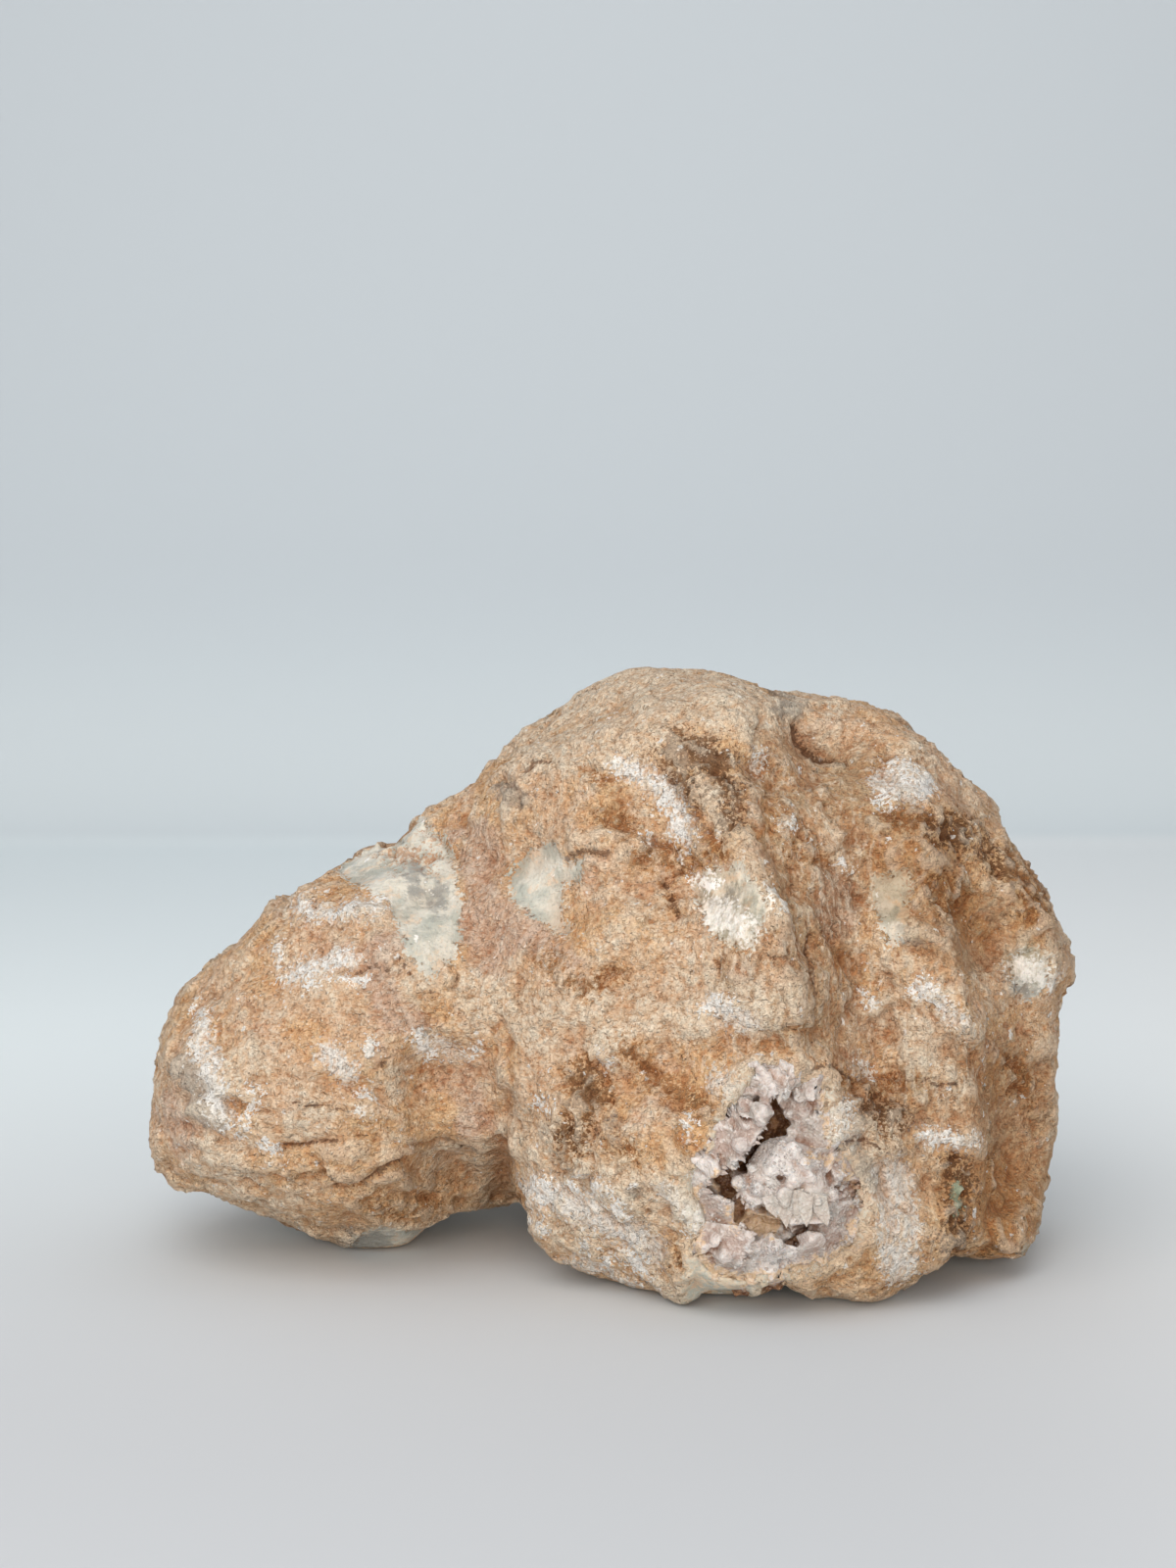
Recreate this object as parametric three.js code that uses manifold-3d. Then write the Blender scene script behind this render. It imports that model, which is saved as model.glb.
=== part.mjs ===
// A rough quartz boulder with a crystal pocket, in millimetres.
// +X runs to the right and -Y towards a person who faces the pocket; +Z is up.
// The origin is at the centre of the footprint, on the surface that the stone rests on.
import * as THREE from "three";
import { ImprovedNoise } from "three/addons/math/ImprovedNoise.js";
import { ConvexGeometry } from "three/addons/geometries/ConvexGeometry.js";
import { mergeVertices } from "three/addons/utils/BufferGeometryUtils.js";
import Module from "manifold-3d";

// Driving sizes of the stone, over which the points of its skin are spread, how many those are,
// and how often they are evened out.
const WIDTH = 140;
const DEPTH = 90;
const HEIGHT = 87;
const SKIN_DETAIL = 16;
const SKIN_ROUNDS = 24;

// The eye point that the outline below is drawn from, as when one looks at the stone on a table.
const EYE = new THREE.Vector3(-3.8, -350, 97);

// The stone's outline from that eye point, drawn on the upright plane through its middle: [across, up].
// It runs clockwise from the saddle, over the summit, down the right side and back along the base.
const OUTLINE = [
  [-22.6, 71.6], [-20.8, 74.2], [-15.5, 78.4], [-9.6, 80.2], [-4.2, 84.3], [-1.8, 86.2], [4.5, 86.3],
  [9.8, 85.2], [15.8, 85.5], [19.3, 84.0], [26.4, 83.0], [34.2, 82.1], [39.3, 79.4], [47.2, 74.8],
  [52.4, 70.2], [56.8, 66.6], [59.9, 60.9], [64.2, 56.3], [67.0, 50.8], [69.8, 45.6], [69.6, 42.2],
  [67.4, 40.3], [66.2, 37.2], [66.3, 33.8], [67.0, 27.4], [66.0, 18.9], [64.4, 11.2], [63.6, 4.6],
  [64.0, -1.6], [61.8, -6.8], [56.5, -6.9], [52.0, -6.0], [47.2, -10.0], [41.8, -11.4], [34.6, -12.2],
  [27.0, -11.2], [20.8, -9.2], [13.4, -11.0], [5.2, -9.6], [-2.4, -6.4], [-9.4, -2.4], [-12.2, 0.6],
  [-18.5, -0.4], [-25.0, -1.4], [-32.6, -3.2], [-40.8, -3.4], [-45.6, -0.4], [-51.2, 2.6], [-56.2, 5.6],
  [-62.4, 6.8], [-67.2, 8.4], [-70.0, 12.6], [-69.2, 17.4], [-69.0, 24.6], [-67.4, 32.2], [-65.0, 37.4],
  [-59.4, 41.4], [-54.0, 44.8], [-49.6, 51.0], [-43.4, 57.6], [-37.0, 63.4], [-31.4, 67.6], [-27.4, 69.2],
];

// Rounded masses that the stone is grown from: centre, half sizes, turn in degrees, and how softly each joins.
const MASSES = [
  { name: "core", at: [14, 2, 42], half: [44, 38, 42], turn: [0, 0, 0], soft: 8 },
  { name: "summit", at: [8, 2, 68], half: [28, 25, 22], turn: [0, 10, 0], soft: 10 },
  { name: "upper right", at: [38, 8, 57], half: [28, 28, 25], turn: [0, 32, 0], soft: 8 },
  { name: "left lobe", at: [-38, 0, 32], half: [37, 28, 27], turn: [0, -30, 6], soft: 9 },
  { name: "left end", at: [-54, 2, 23], half: [20, 20, 19], turn: [0, 0, 0], soft: 8 },
  { name: "left foot", at: [-35, 1, 10], half: [15, 14, 11.5], turn: [0, 0, 0], soft: 8 },
  { name: "front boss", at: [15, -17, 20], half: [30, 24, 21], turn: [0, 0, 0], soft: 3 },
  { name: "boss left end", at: [-2, -15, 17], half: [16, 18, 16], turn: [0, 0, 0], soft: 5 },
  { name: "front foot", at: [27, -25, 9], half: [21, 15, 10.5], turn: [0, 0, 0], soft: 5 },
  { name: "bridge", at: [-18, 5, 14], half: [21, 18, 13.5], turn: [0, 0, 0], soft: 6 },
  { name: "nose", at: [20, -24, 44], half: [12, 12, 26], turn: [-14, -14, 0], soft: 8 },
  { name: "right shoulder", at: [43, -17, 33], half: [11, 14, 24], turn: [0, -8, 0], soft: 5 },
  { name: "right mass", at: [52, 3, 29], half: [20, 25, 33], turn: [0, 0, 0], soft: 5 },
  { name: "right knob", at: [68, -2, 43], half: [5, 6, 5], turn: [0, 0, 0], soft: 4 },
  { name: "right foot", at: [55, -12, 8], half: [13, 14, 10], turn: [0, 0, 0], soft: 6 },
  { name: "back", at: [12, 24, 36], half: [40, 22, 29], turn: [0, 0, -8], soft: 10 },
  { name: "back foot", at: [16, 26, 10], half: [26, 14, 11.5], turn: [0, 0, -10], soft: 8 },
  { name: "back left", at: [-30, 20, 26], half: [25, 19, 18], turn: [0, -14, 20], soft: 10 },
];

// Broken faces that flatten those masses: a point on each, the way it faces, and how rounded its edge is.
const BREAKS = [
  { name: "left slope", at: [-38, -12, 57], facing: [-0.5, -0.3, 0.8], soft: 5 },
  { name: "left end", at: [-72, 0, 22], facing: [-1, -0.12, 0.05], soft: 6 },
  { name: "left underside", at: [-56, -4, 5], facing: [-0.36, -0.3, -0.88], soft: 5 },
  { name: "saddle front", at: [-18, -27, 50], facing: [-0.3, -0.85, 0.4], soft: 6 },
  { name: "right slope", at: [54, 0, 71], facing: [0.7, -0.12, 0.7], soft: 6 },
  { name: "right side", at: [71, 0, 30], facing: [1, -0.1, 0.02], soft: 6 },
  { name: "back", at: [10, 43, 40], facing: [0.12, 0.97, 0.2], soft: 6 },
  { name: "back left", at: [-40, 32, 34], facing: [-0.5, 0.75, 0.42], soft: 6 },
  { name: "back upper", at: [14, 33, 66], facing: [0.1, 0.72, 0.68], soft: 4 },
  { name: "back right", at: [52, 30, 34], facing: [0.72, 0.68, 0.1], soft: 4 },
];

// Ridges and grooves on the front, drawn on the same upright plane as the outline.
// Rise is positive for a ridge and negative for a groove, and wide is how far it spreads to each side.
const RELIEF = [
  { name: "saddle groove", rise: -3.0, wide: 7, path: [[-23, 72], [-20, 58], [-21, 44], [-18, 32]] },
  { name: "boss crease", rise: -3.5, wide: 4.5, path: [[-28, 27], [-20, 20], [-18, 10], [-15, 3]] },
  { name: "recess under the lobe", rise: -4.0, wide: 6, path: [[-24, 12], [-21, 5]] },
  { name: "nose ridge", rise: 2.6, wide: 6, path: [[12, 74], [18, 60], [23, 48], [28, 34], [31, 28]] },
  { name: "trough", rise: -3.4, wide: 7, path: [[28, 76], [32, 62], [36, 48], [37, 34], [35, 28]] },
  { name: "dark crevice", rise: -3.0, wide: 3, path: [[27, 79], [31, 74], [35, 72]] },
  { name: "shoulder ridge", rise: 3.0, wide: 4.5, path: [[43, 46], [50, 42], [55, 32], [57, 18], [55, 4]] },
  { name: "behind the shoulder", rise: -6.0, wide: 4.5, path: [[57, 46], [60, 34], [61, 20], [59, 6]] },
  { name: "window step", rise: -2.0, wide: 4, path: [[-12, 60], [-8, 54], [-6, 48]] },
  { name: "brow over the window", rise: 1.6, wide: 3, path: [[-7, 63], [-2, 61], [3, 60]] },
  { name: "lower lip of the lobe", rise: 2.2, wide: 4, path: [[-60, 15], [-48, 12], [-36, 11], [-26, 16]] },
];

// The pocket in the front boss, drawn on the same plane, with its floor's depth and how rounded that is.
const POCKET = [
  [21.3, 28.0], [25.4, 26.6], [31.5, 24.2], [32.2, 17.0], [33.6, 14.0], [36.6, 8.6], [37.6, 5.0], [36.6, 0.6],
  [32.4, -2.8], [26.0, -4.8], [20.0, -6.0], [14.6, -5.0], [12.4, -1.0], [13.2, 2.8], [11.4, 8.1], [11.4, 12.0],
  [14.8, 13.4], [16.2, 18.4], [18.5, 22.6],
];
const POCKET_FLOOR = -27;
const POCKET_ROUND = 4;

// The quartz plates and lumps that line the pocket: each front corner's place on that plane, and its depth.
const PLATES = [
  {
    name: "top cap",
    front: [
      [21.3, 28.4, -38], [25.3, 26.4, -39], [28.3, 24.6, -40.5], [27.0, 23.0, -42], [24.8, 22.4, -42.5],
      [22.8, 22.8, -42.5], [19.4, 22.3, -41],
    ],
  },
  {
    name: "left plate",
    front: [
      [18.3, 19.8, -41], [20.2, 21.4, -42], [22.7, 20.5, -43], [23.3, 18.6, -43], [22.1, 16.4, -43],
      [20.7, 14.2, -43], [18.5, 12.2, -42.5], [16.1, 10.9, -41.5], [14.8, 13.4, -41], [16.6, 17.5, -40.5],
    ],
  },
  {
    name: "left hook",
    front: [
      [11.5, 11.8, -40.5], [15.0, 12.8, -42.5], [15.4, 11.4, -42.5], [14.6, 9.2, -41.5], [13.4, 7.2, -41],
      [11.6, 8.6, -40.5],
    ],
  },
  {
    name: "right wall",
    front: [
      [24.2, 22.0, -37], [27.0, 23.2, -39], [31.6, 24.2, -40.5], [31.8, 19.6, -40.5], [33.2, 14.2, -40.5],
      [30.4, 13.0, -39], [28.0, 14.4, -37], [26.5, 16.8, -35],
    ],
  },
  {
    name: "middle lump",
    front: [
      [22.5, 15.2, -39], [25.3, 16.4, -38.5], [28.1, 14.8, -39.5], [31.4, 13.6, -40.5], [31.0, 11.6, -42],
      [27.0, 10.2, -43], [23.2, 10.3, -42.5], [20.6, 10.3, -40.5], [20.4, 12.2, -39.5], [25.0, 13.2, -42.5],
    ],
  },
  {
    name: "sugary ledge",
    front: [
      [17.9, 9.2, -40.5], [20.4, 10.6, -41], [24.3, 10.0, -42.5], [25.6, 8.7, -43], [24.4, 6.4, -43],
      [21.0, 5.3, -42.5], [19.3, 6.8, -41.5],
    ],
  },
  {
    name: "blade",
    front: [
      [24.0, 8.6, -42], [27.0, 10.4, -41.5], [31.3, 11.4, -41], [33.4, 7.0, -41], [32.5, 4.3, -43],
      [32.1, 2.8, -44], [28.1, 3.6, -44.2], [26.4, 2.6, -44.4], [24.8, 4.3, -44], [23.0, 5.2, -43.4],
    ],
  },
  {
    name: "right face",
    front: [
      [30.6, 12.4, -41], [33.8, 13.6, -40], [36.6, 8.6, -38.5], [37.6, 5.0, -38], [36.6, 0.6, -38],
      [31.8, -2.4, -39.5], [29.5, 2.0, -39],
    ],
  },
  {
    name: "nodule",
    front: [
      [27.7, 0.9, -41], [29.4, 1.7, -42.5], [31.6, 1.4, -42.5], [32.3, 0.2, -41.5], [31.6, -1.2, -41],
      [30.0, -1.8, -41], [28.5, -1.2, -41.5], [30.0, 0.2, -43.4],
    ],
  },
  {
    name: "lower left plate",
    front: [
      [13.6, 3.0, -40.5], [18.6, 2.6, -42.5], [21.2, 1.0, -43.5], [20.7, -0.6, -43.5], [19.0, -4.0, -42.5],
      [16.4, -5.6, -40.5], [12.8, -1.2, -40.5],
    ],
  },
  {
    name: "lower mass",
    front: [
      [20.2, -0.8, -39.5], [23.2, 0.2, -40.5], [27.0, -0.6, -41.5], [32.2, -2.6, -40.5], [26.0, -4.6, -40.5],
      [20.0, -5.8, -39.5], [18.2, -4.4, -40],
    ],
  },
  {
    name: "left shelf",
    front: [
      [13.0, 7.6, -39.5], [16.0, 7.2, -41], [18.4, 6.0, -40.5], [18.2, 3.0, -40.5], [13.8, 2.6, -39.5],
      [12.2, 5.5, -39],
    ],
  },
  {
    name: "upper left wall",
    front: [[20.0, 26.2, -38], [22.4, 23.6, -40.5], [20.6, 21.0, -40.5], [17.4, 18.2, -39.5], [16.4, 19.0, -38.5]],
  },
];
const PLATE_ROOT = -31;
const SLAB_FRONT = -35;

// The hollows between those plates: their outlines on that plane, and their floors' depth.
const CAVITIES = [
  {
    name: "upper slot",
    floor: -30.5,
    outline: [
      [23.0, 22.8], [24.6, 22.0], [27.2, 17.2], [25.6, 16.4], [22.6, 15.4], [20.2, 12.2], [20.6, 10.4],
      [17.6, 10.4], [20.8, 14.4], [23.2, 18.4],
    ],
  },
  { name: "left hole", floor: -33, outline: [[15.2, 11.0], [17.4, 11.0], [18.6, 8.0], [17.4, 6.6], [15.4, 8.8]] },
  {
    name: "lower hollow",
    floor: -32,
    outline: [[18.6, 3.2], [20.6, 5.2], [24.6, 4.4], [27.4, 2.2], [25.6, 0.8], [22.4, 0.4], [21.2, -0.4], [21.2, 1.0]],
  },
];

// The crust of crystals stands off the stone by this gap, and its crystals are grown at seeded places.
const CRUST_GAP = 0.35;
const CRYSTALS = 44;
const CRYSTAL_SEED = 11;
const CRYSTAL_ROOT = 1.2;

// In front of the stone, where nothing is left to cut.
const OPEN_AIR = -60;

// Lumps of the crust: how high they are, and how far apart.
const LUMPS = [
  { rise: 3.4, apart: 17 },
  { rise: 2.2, apart: 8 },
];

// The middle that the skin is grown round, and how far out it is looked for.
const MIDDLE = new THREE.Vector3(8, 0, 34);
const REACH = 100;

// How rounded the rim is, and what the outline has in hand for that rounding.
const OUTLINE_SOFT = 8;
const OUTLINE_SPARE = 2;

const noise = new ImprovedNoise();
const rad = THREE.MathUtils.degToRad;
const smoothstep = (x, from, to) => THREE.MathUtils.smoothstep(x, from, to);

// Where a point is seen on the upright plane through the stone's middle, and back again at a known depth.
function toFront(p) {
  const s = EYE.y / (EYE.y - p.y);
  return new THREE.Vector2(EYE.x + (p.x - EYE.x) * s, EYE.z + (p.z - EYE.z) * s);
}
function fromFront(q, y) {
  const s = (EYE.y - y) / EYE.y;
  return new THREE.Vector3(EYE.x + (q.x - EYE.x) * s, y, EYE.z + (q.y - EYE.z) * s);
}

// Signed distance, near enough, from a point to one rounded mass.
function massDistance(p, mass) {
  const q = p.clone().sub(mass.centre).applyQuaternion(mass.unturn).divide(mass.size);
  const far = q.length();
  const slope = q.divide(mass.size).length();
  return slope < 1e-9 ? -mass.size.x : (far * (far - 1)) / slope;
}

// Joins two distances so that the surfaces flow into each other over a width of soft.
function joinSoftly(a, b, soft) {
  const h = Math.max(soft - Math.abs(a - b), 0) / soft;
  return Math.min(a, b) - (h * h * soft) / 4;
}

for (const mass of MASSES) {
  mass.centre = new THREE.Vector3(...mass.at);
  mass.size = new THREE.Vector3(...mass.half);
  mass.unturn = new THREE.Quaternion().setFromEuler(new THREE.Euler(...mass.turn.map(rad))).invert();
}
for (const face of BREAKS) {
  face.normal = new THREE.Vector3(...face.facing).normalize();
  face.offset = face.normal.dot(new THREE.Vector3(...face.at));
}
for (const line of RELIEF) line.points = line.path.map(([x, z]) => new THREE.Vector2(x, z));

// How far a point on the front plane is from a drawn line.
function lineDistance(q, points) {
  let best = Infinity;
  for (let i = 1; i < points.length; i++) {
    const along = points[i].clone().sub(points[i - 1]);
    const from = q.clone().sub(points[i - 1]);
    const t = THREE.MathUtils.clamp(from.dot(along) / along.lengthSq(), 0, 1);
    best = Math.min(best, from.addScaledVector(along, -t).length());
  }
  return best;
}

// How far a point lies outside the drawn outline, as seen from the eye point; less than nothing inside it.
function outlineDistance(p) {
  const q = toFront(p);
  let nearest = Infinity;
  let inside = false;
  let [bx, bz] = OUTLINE[OUTLINE.length - 1];
  for (const [ax, az] of OUTLINE) {
    const along = ((q.x - ax) * (bx - ax) + (q.y - az) * (bz - az)) / ((bx - ax) ** 2 + (bz - az) ** 2);
    const t = Math.min(Math.max(along, 0), 1);
    nearest = Math.min(nearest, Math.hypot(q.x - ax - t * (bx - ax), q.y - az - t * (bz - az)));
    if (az > q.y !== bz > q.y && q.x < ax + ((q.y - az) / (bz - az)) * (bx - ax)) inside = !inside;
    [bx, bz] = [ax, az];
  }
  return inside ? -nearest : nearest;
}

function stoneDistance(p) {
  let d = Infinity;
  for (const mass of MASSES) d = joinSoftly(d, massDistance(p, mass), mass.soft);
  for (const face of BREAKS) d = -joinSoftly(-d, face.offset - p.dot(face.normal), face.soft);
  const frontness = 1 - smoothstep(p.y, -4, 12);
  if (frontness > 0) {
    const q = toFront(p);
    for (const line of RELIEF) {
      const far = lineDistance(q, line.points) / line.wide;
      if (far < 2.5) d -= line.rise * frontness * Math.exp(-far * far);
    }
  }
  for (const { rise, apart } of LUMPS) d -= rise * noise.noise(p.x / apart, p.y / apart, p.z / apart);
  return -joinSoftly(-d, OUTLINE_SPARE - outlineDistance(p), OUTLINE_SOFT);
}

// The way the distance grows fastest at a point, with its steepness.
function stoneSlope(p) {
  const step = 0.4;
  const here = stoneDistance(p);
  const slope = new THREE.Vector3();
  for (const axis of ["x", "y", "z"]) {
    const beside = p.clone();
    beside[axis] += step;
    slope[axis] = (stoneDistance(beside) - here) / step;
  }
  return { here, slope };
}

// Where the surface is met along a line out of the stone's middle.
function skinPoint(direction) {
  const at = (far) => MIDDLE.clone().addScaledVector(direction, far);
  let far = REACH;
  while (far > 1 && stoneDistance(at(far)) > 0) far -= 1.5;
  let near = far;
  far += 1.5;
  for (let i = 0; i < 8; i++) {
    const half = (near + far) / 2;
    if (stoneDistance(at(half)) > 0) far = half;
    else near = half;
  }
  return at(near);
}

// Spreads a skin's points evenly: each moves towards its neighbours' middle, then back onto the surface.
function relax(skin, rounds) {
  const position = skin.getAttribute("position");
  const beside = Array.from({ length: position.count }, () => new Set());
  for (let i = 0; i < skin.index.count; i += 3) {
    const corners = [0, 1, 2].map((k) => skin.index.getX(i + k));
    for (const a of corners) for (const b of corners) if (a !== b) beside[a].add(b);
  }
  let points = Array.from({ length: position.count }, (_, i) => new THREE.Vector3().fromBufferAttribute(position, i));
  for (let round = 0; round < rounds; round++) {
    points = points.map((p, i) => {
      const middle = new THREE.Vector3();
      for (const k of beside[i]) middle.add(points[k]);
      return p.clone().lerp(middle.divideScalar(beside[i].size), 0.6);
    });
    for (const p of points) {
      const { here, slope } = stoneSlope(p);
      const move = THREE.MathUtils.clamp(here / Math.max(slope.lengthSq(), 0.2), -1.5, 1.5);
      p.addScaledVector(slope, -move);
    }
  }
  points.forEach((p, i) => position.setXYZ(i, p.x, p.y, p.z));
}

function stoneSkin() {
  const ball = new THREE.IcosahedronGeometry(1, SKIN_DETAIL);
  ball.deleteAttribute("normal");
  ball.deleteAttribute("uv");
  const skin = mergeVertices(ball, 1e-5);
  const position = skin.getAttribute("position");
  const stretch = new THREE.Vector3(WIDTH, DEPTH, HEIGHT);
  const p = new THREE.Vector3();
  for (let i = 0; i < position.count; i++) {
    p.fromBufferAttribute(position, i).multiply(stretch).normalize();
    const q = skinPoint(p);
    position.setXYZ(i, q.x, q.y, q.z);
  }
  relax(skin, SKIN_ROUNDS);
  for (let i = 0; i < position.count; i++) position.setZ(i, Math.max(position.getZ(i), 0));
  return skin;
}

const wasm = await Module();
wasm.setup();

// Turns a closed geometry into a solid that can be joined and cut, and back.
function toSolid(geometry) {
  const bare = new THREE.BufferGeometry();
  bare.setAttribute("position", geometry.getAttribute("position"));
  bare.setIndex(geometry.index);
  const merged = mergeVertices(bare, 1e-4);
  const vertProperties = new Float32Array(merged.getAttribute("position").array);
  return new wasm.Manifold(new wasm.Mesh({ numProp: 3, vertProperties, triVerts: new Uint32Array(merged.index.array) }));
}
function toGeometry(solid) {
  const mesh = solid.getMesh();
  const geometry = new THREE.BufferGeometry();
  geometry.setAttribute("position", new THREE.BufferAttribute(mesh.vertProperties, 3));
  geometry.setIndex(new THREE.BufferAttribute(mesh.triVerts, 1));
  return geometry;
}

// Moves each corner of an outline that runs clockwise inwards, so that its sides move in by the same amount.
function insetOutline(outline, by) {
  const corners = outline.map(([x, z]) => new THREE.Vector2(x, z));
  return corners.map((corner, i) => {
    const [from, to] = [-1, 1].map((k) => corners[(i + k + corners.length) % corners.length]);
    const [before, after] = [corner.clone().sub(from).normalize(), to.clone().sub(corner).normalize()];
    const inwards = new THREE.Vector2(before.y + after.y, -before.x - after.x).normalize();
    return corner.clone().addScaledVector(inwards, by / inwards.dot(new THREE.Vector2(before.y, -before.x)));
  });
}

// A solid sunk into the front: its outline is drawn on the front plane and runs along the sight lines
// from top down to floor, where its edge is rounded; inset shrinks it all round.
function sunkSolid(outline, floor, round, inset, top = OPEN_AIR) {
  const corners = insetOutline(outline, inset);
  const middle = corners.reduce((sum, q) => sum.add(q), new THREE.Vector2()).divideScalar(corners.length);
  const levels = [[0, 0.72], [0.25, 0.86], [0.6, 0.96], [1, 1]].map(([up, wide]) => [floor - inset - up * round, wide]);
  levels.push([top, 1]);
  const steps = levels.length - 1;
  const block = new THREE.ExtrudeGeometry(new THREE.Shape(corners), { depth: steps, steps, bevelEnabled: false });
  const position = block.getAttribute("position");
  for (let i = 0; i < position.count; i++) {
    const [y, wide] = levels[Math.round(position.getZ(i))];
    const q = new THREE.Vector2(position.getX(i), position.getY(i));
    const p = fromFront(middle.clone().lerp(q, wide), y);
    position.setXYZ(i, p.x, p.y, p.z);
  }
  return toSolid(block);
}

// One quartz crystal: a short six sided prism with a pointed end, growing from root along way.
function crystalSolid(root, way, radius, length, spin) {
  const ring = (height, wide) =>
    Array.from({ length: 6 }, (_, i) => {
      const angle = spin + (i * Math.PI) / 3;
      return new THREE.Vector3(Math.cos(angle) * wide, Math.sin(angle) * wide, height);
    });
  const points = [...ring(-CRYSTAL_ROOT, radius), ...ring(length - radius, radius * 0.92), new THREE.Vector3(0, 0, length)];
  const turn = new THREE.Quaternion().setFromUnitVectors(new THREE.Vector3(0, 0, 1), way);
  return toSolid(new ConvexGeometry(points.map((p) => p.applyQuaternion(turn).add(root))));
}

function crystalCrust() {
  const bounds = sunkSolid(POCKET, POCKET_FLOOR, POCKET_ROUND, CRUST_GAP);
  let crust = sunkSolid(POCKET, POCKET_FLOOR, POCKET_ROUND, CRUST_GAP, SLAB_FRONT);
  for (const { front } of PLATES) {
    const corners = front.map(([x, z, y]) => fromFront(new THREE.Vector2(x, z), y));
    const roots = front.map(([x, z]) => fromFront(new THREE.Vector2(x, z), PLATE_ROOT));
    crust = crust.add(toSolid(new ConvexGeometry([...corners, ...roots])));
  }
  for (const { outline, floor } of CAVITIES) crust = crust.subtract(sunkSolid(outline, floor, 0.8, 0));
  const ground = new THREE.Mesh(toGeometry(crust));
  const eye = new THREE.Raycaster();
  const between = (from, to) => THREE.MathUtils.lerp(from, to, THREE.MathUtils.seededRandom());
  THREE.MathUtils.seededRandom(CRYSTAL_SEED);
  const [xs, zs] = [0, 1].map((k) => POCKET.map((q) => q[k]));
  let grown = 0;
  while (grown < CRYSTALS) {
    const q = new THREE.Vector2(between(Math.min(...xs), Math.max(...xs)), between(Math.min(...zs), Math.max(...zs)));
    eye.set(EYE, fromFront(q, 0).sub(EYE).normalize());
    const [hit] = eye.intersectObject(ground);
    const way = new THREE.Vector3(between(-0.8, 0.8), between(-1, -0.2), between(-0.5, 0.9)).normalize();
    const size = between(0.8, 1.6);
    const spin = between(0, Math.PI);
    if (!hit) continue;
    way.addScaledVector(hit.face.normal, 1.2).normalize();
    crust = crust.add(crystalSolid(hit.point, way, size, size * 1.6, spin));
    grown += 1;
  }
  return crust.intersect(bounds);
}

const skin = toSolid(stoneSkin());
const stone = new THREE.Mesh(
  toGeometry(skin.subtract(sunkSolid(POCKET, POCKET_FLOOR, POCKET_ROUND, 0))),
  new THREE.MeshStandardMaterial({ color: 0xb89a7c, roughness: 0.95 }),
);
stone.name = "stone";
const crust = new THREE.Mesh(
  toGeometry(crystalCrust()),
  new THREE.MeshStandardMaterial({ color: 0xd8c9bd, roughness: 0.3, flatShading: true }),
);
crust.name = "crystal_crust";
const part = new THREE.Group();
part.add(stone, crust);

// Brings the middle of the footprint to the origin.
const middle = new THREE.Box3().setFromObject(part).getCenter(new THREE.Vector3());
for (const mesh of part.children) mesh.geometry.translate(-middle.x, -middle.y, 0).computeVertexNormals();
export default part;
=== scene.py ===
import math
import random

import bmesh
import bpy
import numpy as np
from mathutils import Matrix, Vector, noise
from mathutils.bvhtree import BVHTree


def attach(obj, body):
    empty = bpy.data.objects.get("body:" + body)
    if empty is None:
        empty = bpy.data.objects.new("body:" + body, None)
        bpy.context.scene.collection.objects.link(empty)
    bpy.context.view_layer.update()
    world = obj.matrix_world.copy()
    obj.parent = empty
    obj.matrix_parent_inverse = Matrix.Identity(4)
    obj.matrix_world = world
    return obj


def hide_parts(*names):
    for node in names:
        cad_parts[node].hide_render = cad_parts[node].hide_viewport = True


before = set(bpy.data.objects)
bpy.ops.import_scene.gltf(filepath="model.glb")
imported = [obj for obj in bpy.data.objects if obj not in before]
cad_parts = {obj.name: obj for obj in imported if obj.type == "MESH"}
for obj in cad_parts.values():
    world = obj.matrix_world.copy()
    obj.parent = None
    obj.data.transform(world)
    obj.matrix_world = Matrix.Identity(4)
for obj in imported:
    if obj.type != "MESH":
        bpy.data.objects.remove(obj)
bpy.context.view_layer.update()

MM = 0.001

# The view: from a little above the table and level with the middle of the stone, about 350 mm
# in front of it, tipped down by 4.5 degrees, as one bends to look into its pocket.
EYE = Vector((-3.64, -350.45, 97.0))
TIP_DOWN = math.radians(4.5)
LENS = 54.09
FILM = 36

view = bpy.data.cameras.new("view")
view.lens = LENS
view.sensor_width = FILM
view.clip_start = 0.01
camera = bpy.data.objects.new("view", view)
camera.location = EYE * MM
camera.rotation_euler = (math.radians(90) - TIP_DOWN, 0, 0)
bpy.context.collection.objects.link(camera)
bpy.context.scene.camera = camera
bpy.context.scene.view_settings.view_transform = "Standard"

# The table and the wall behind it: one pale sheet of matt card that lies flat under the stone
# and turns up in a soft bend far behind it. Its colour carries painted light and shade: a touch
# darker near the front and at its top, and lighter at the back, low on the wall and to the right.
TABLE_FRONT = -420
TABLE_BACK = 560
TABLE_HALF = 900
BEND = 70
BEND_STEPS = 12
WALL_TOP = 900
WALL_LOW = 0.005
WALL_HIGH = 0.12
TABLE_NEAR = -0.1
TABLE_FAR = 0.2
GLOW_FROM = 0.02
GLOW_TO = 0.16
GLOW = 0.6


def paint(red, green, blue):
    """A colour given in parts from 0 to 255, as the renderer takes it."""
    parts = (red / 255, green / 255, blue / 255)
    mixed = [part / 12.92 if part <= 0.04045 else ((part + 0.055) / 1.055) ** 2.4
             for part in parts]
    return (*mixed, 1.0)


def new_finish(name):
    """A finish, the tree of nodes that makes it, and the shader that they end in."""
    finish = bpy.data.materials.new(name)
    finish.use_nodes = True
    return finish, finish.node_tree, finish.node_tree.nodes["Principled BSDF"]


def feed(tree, value, socket):
    """A link where the value comes from another node, and a plain setting where it doesn't."""
    if isinstance(value, bpy.types.NodeSocket):
        tree.links.new(value, socket)
    else:
        socket.default_value = value


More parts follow.
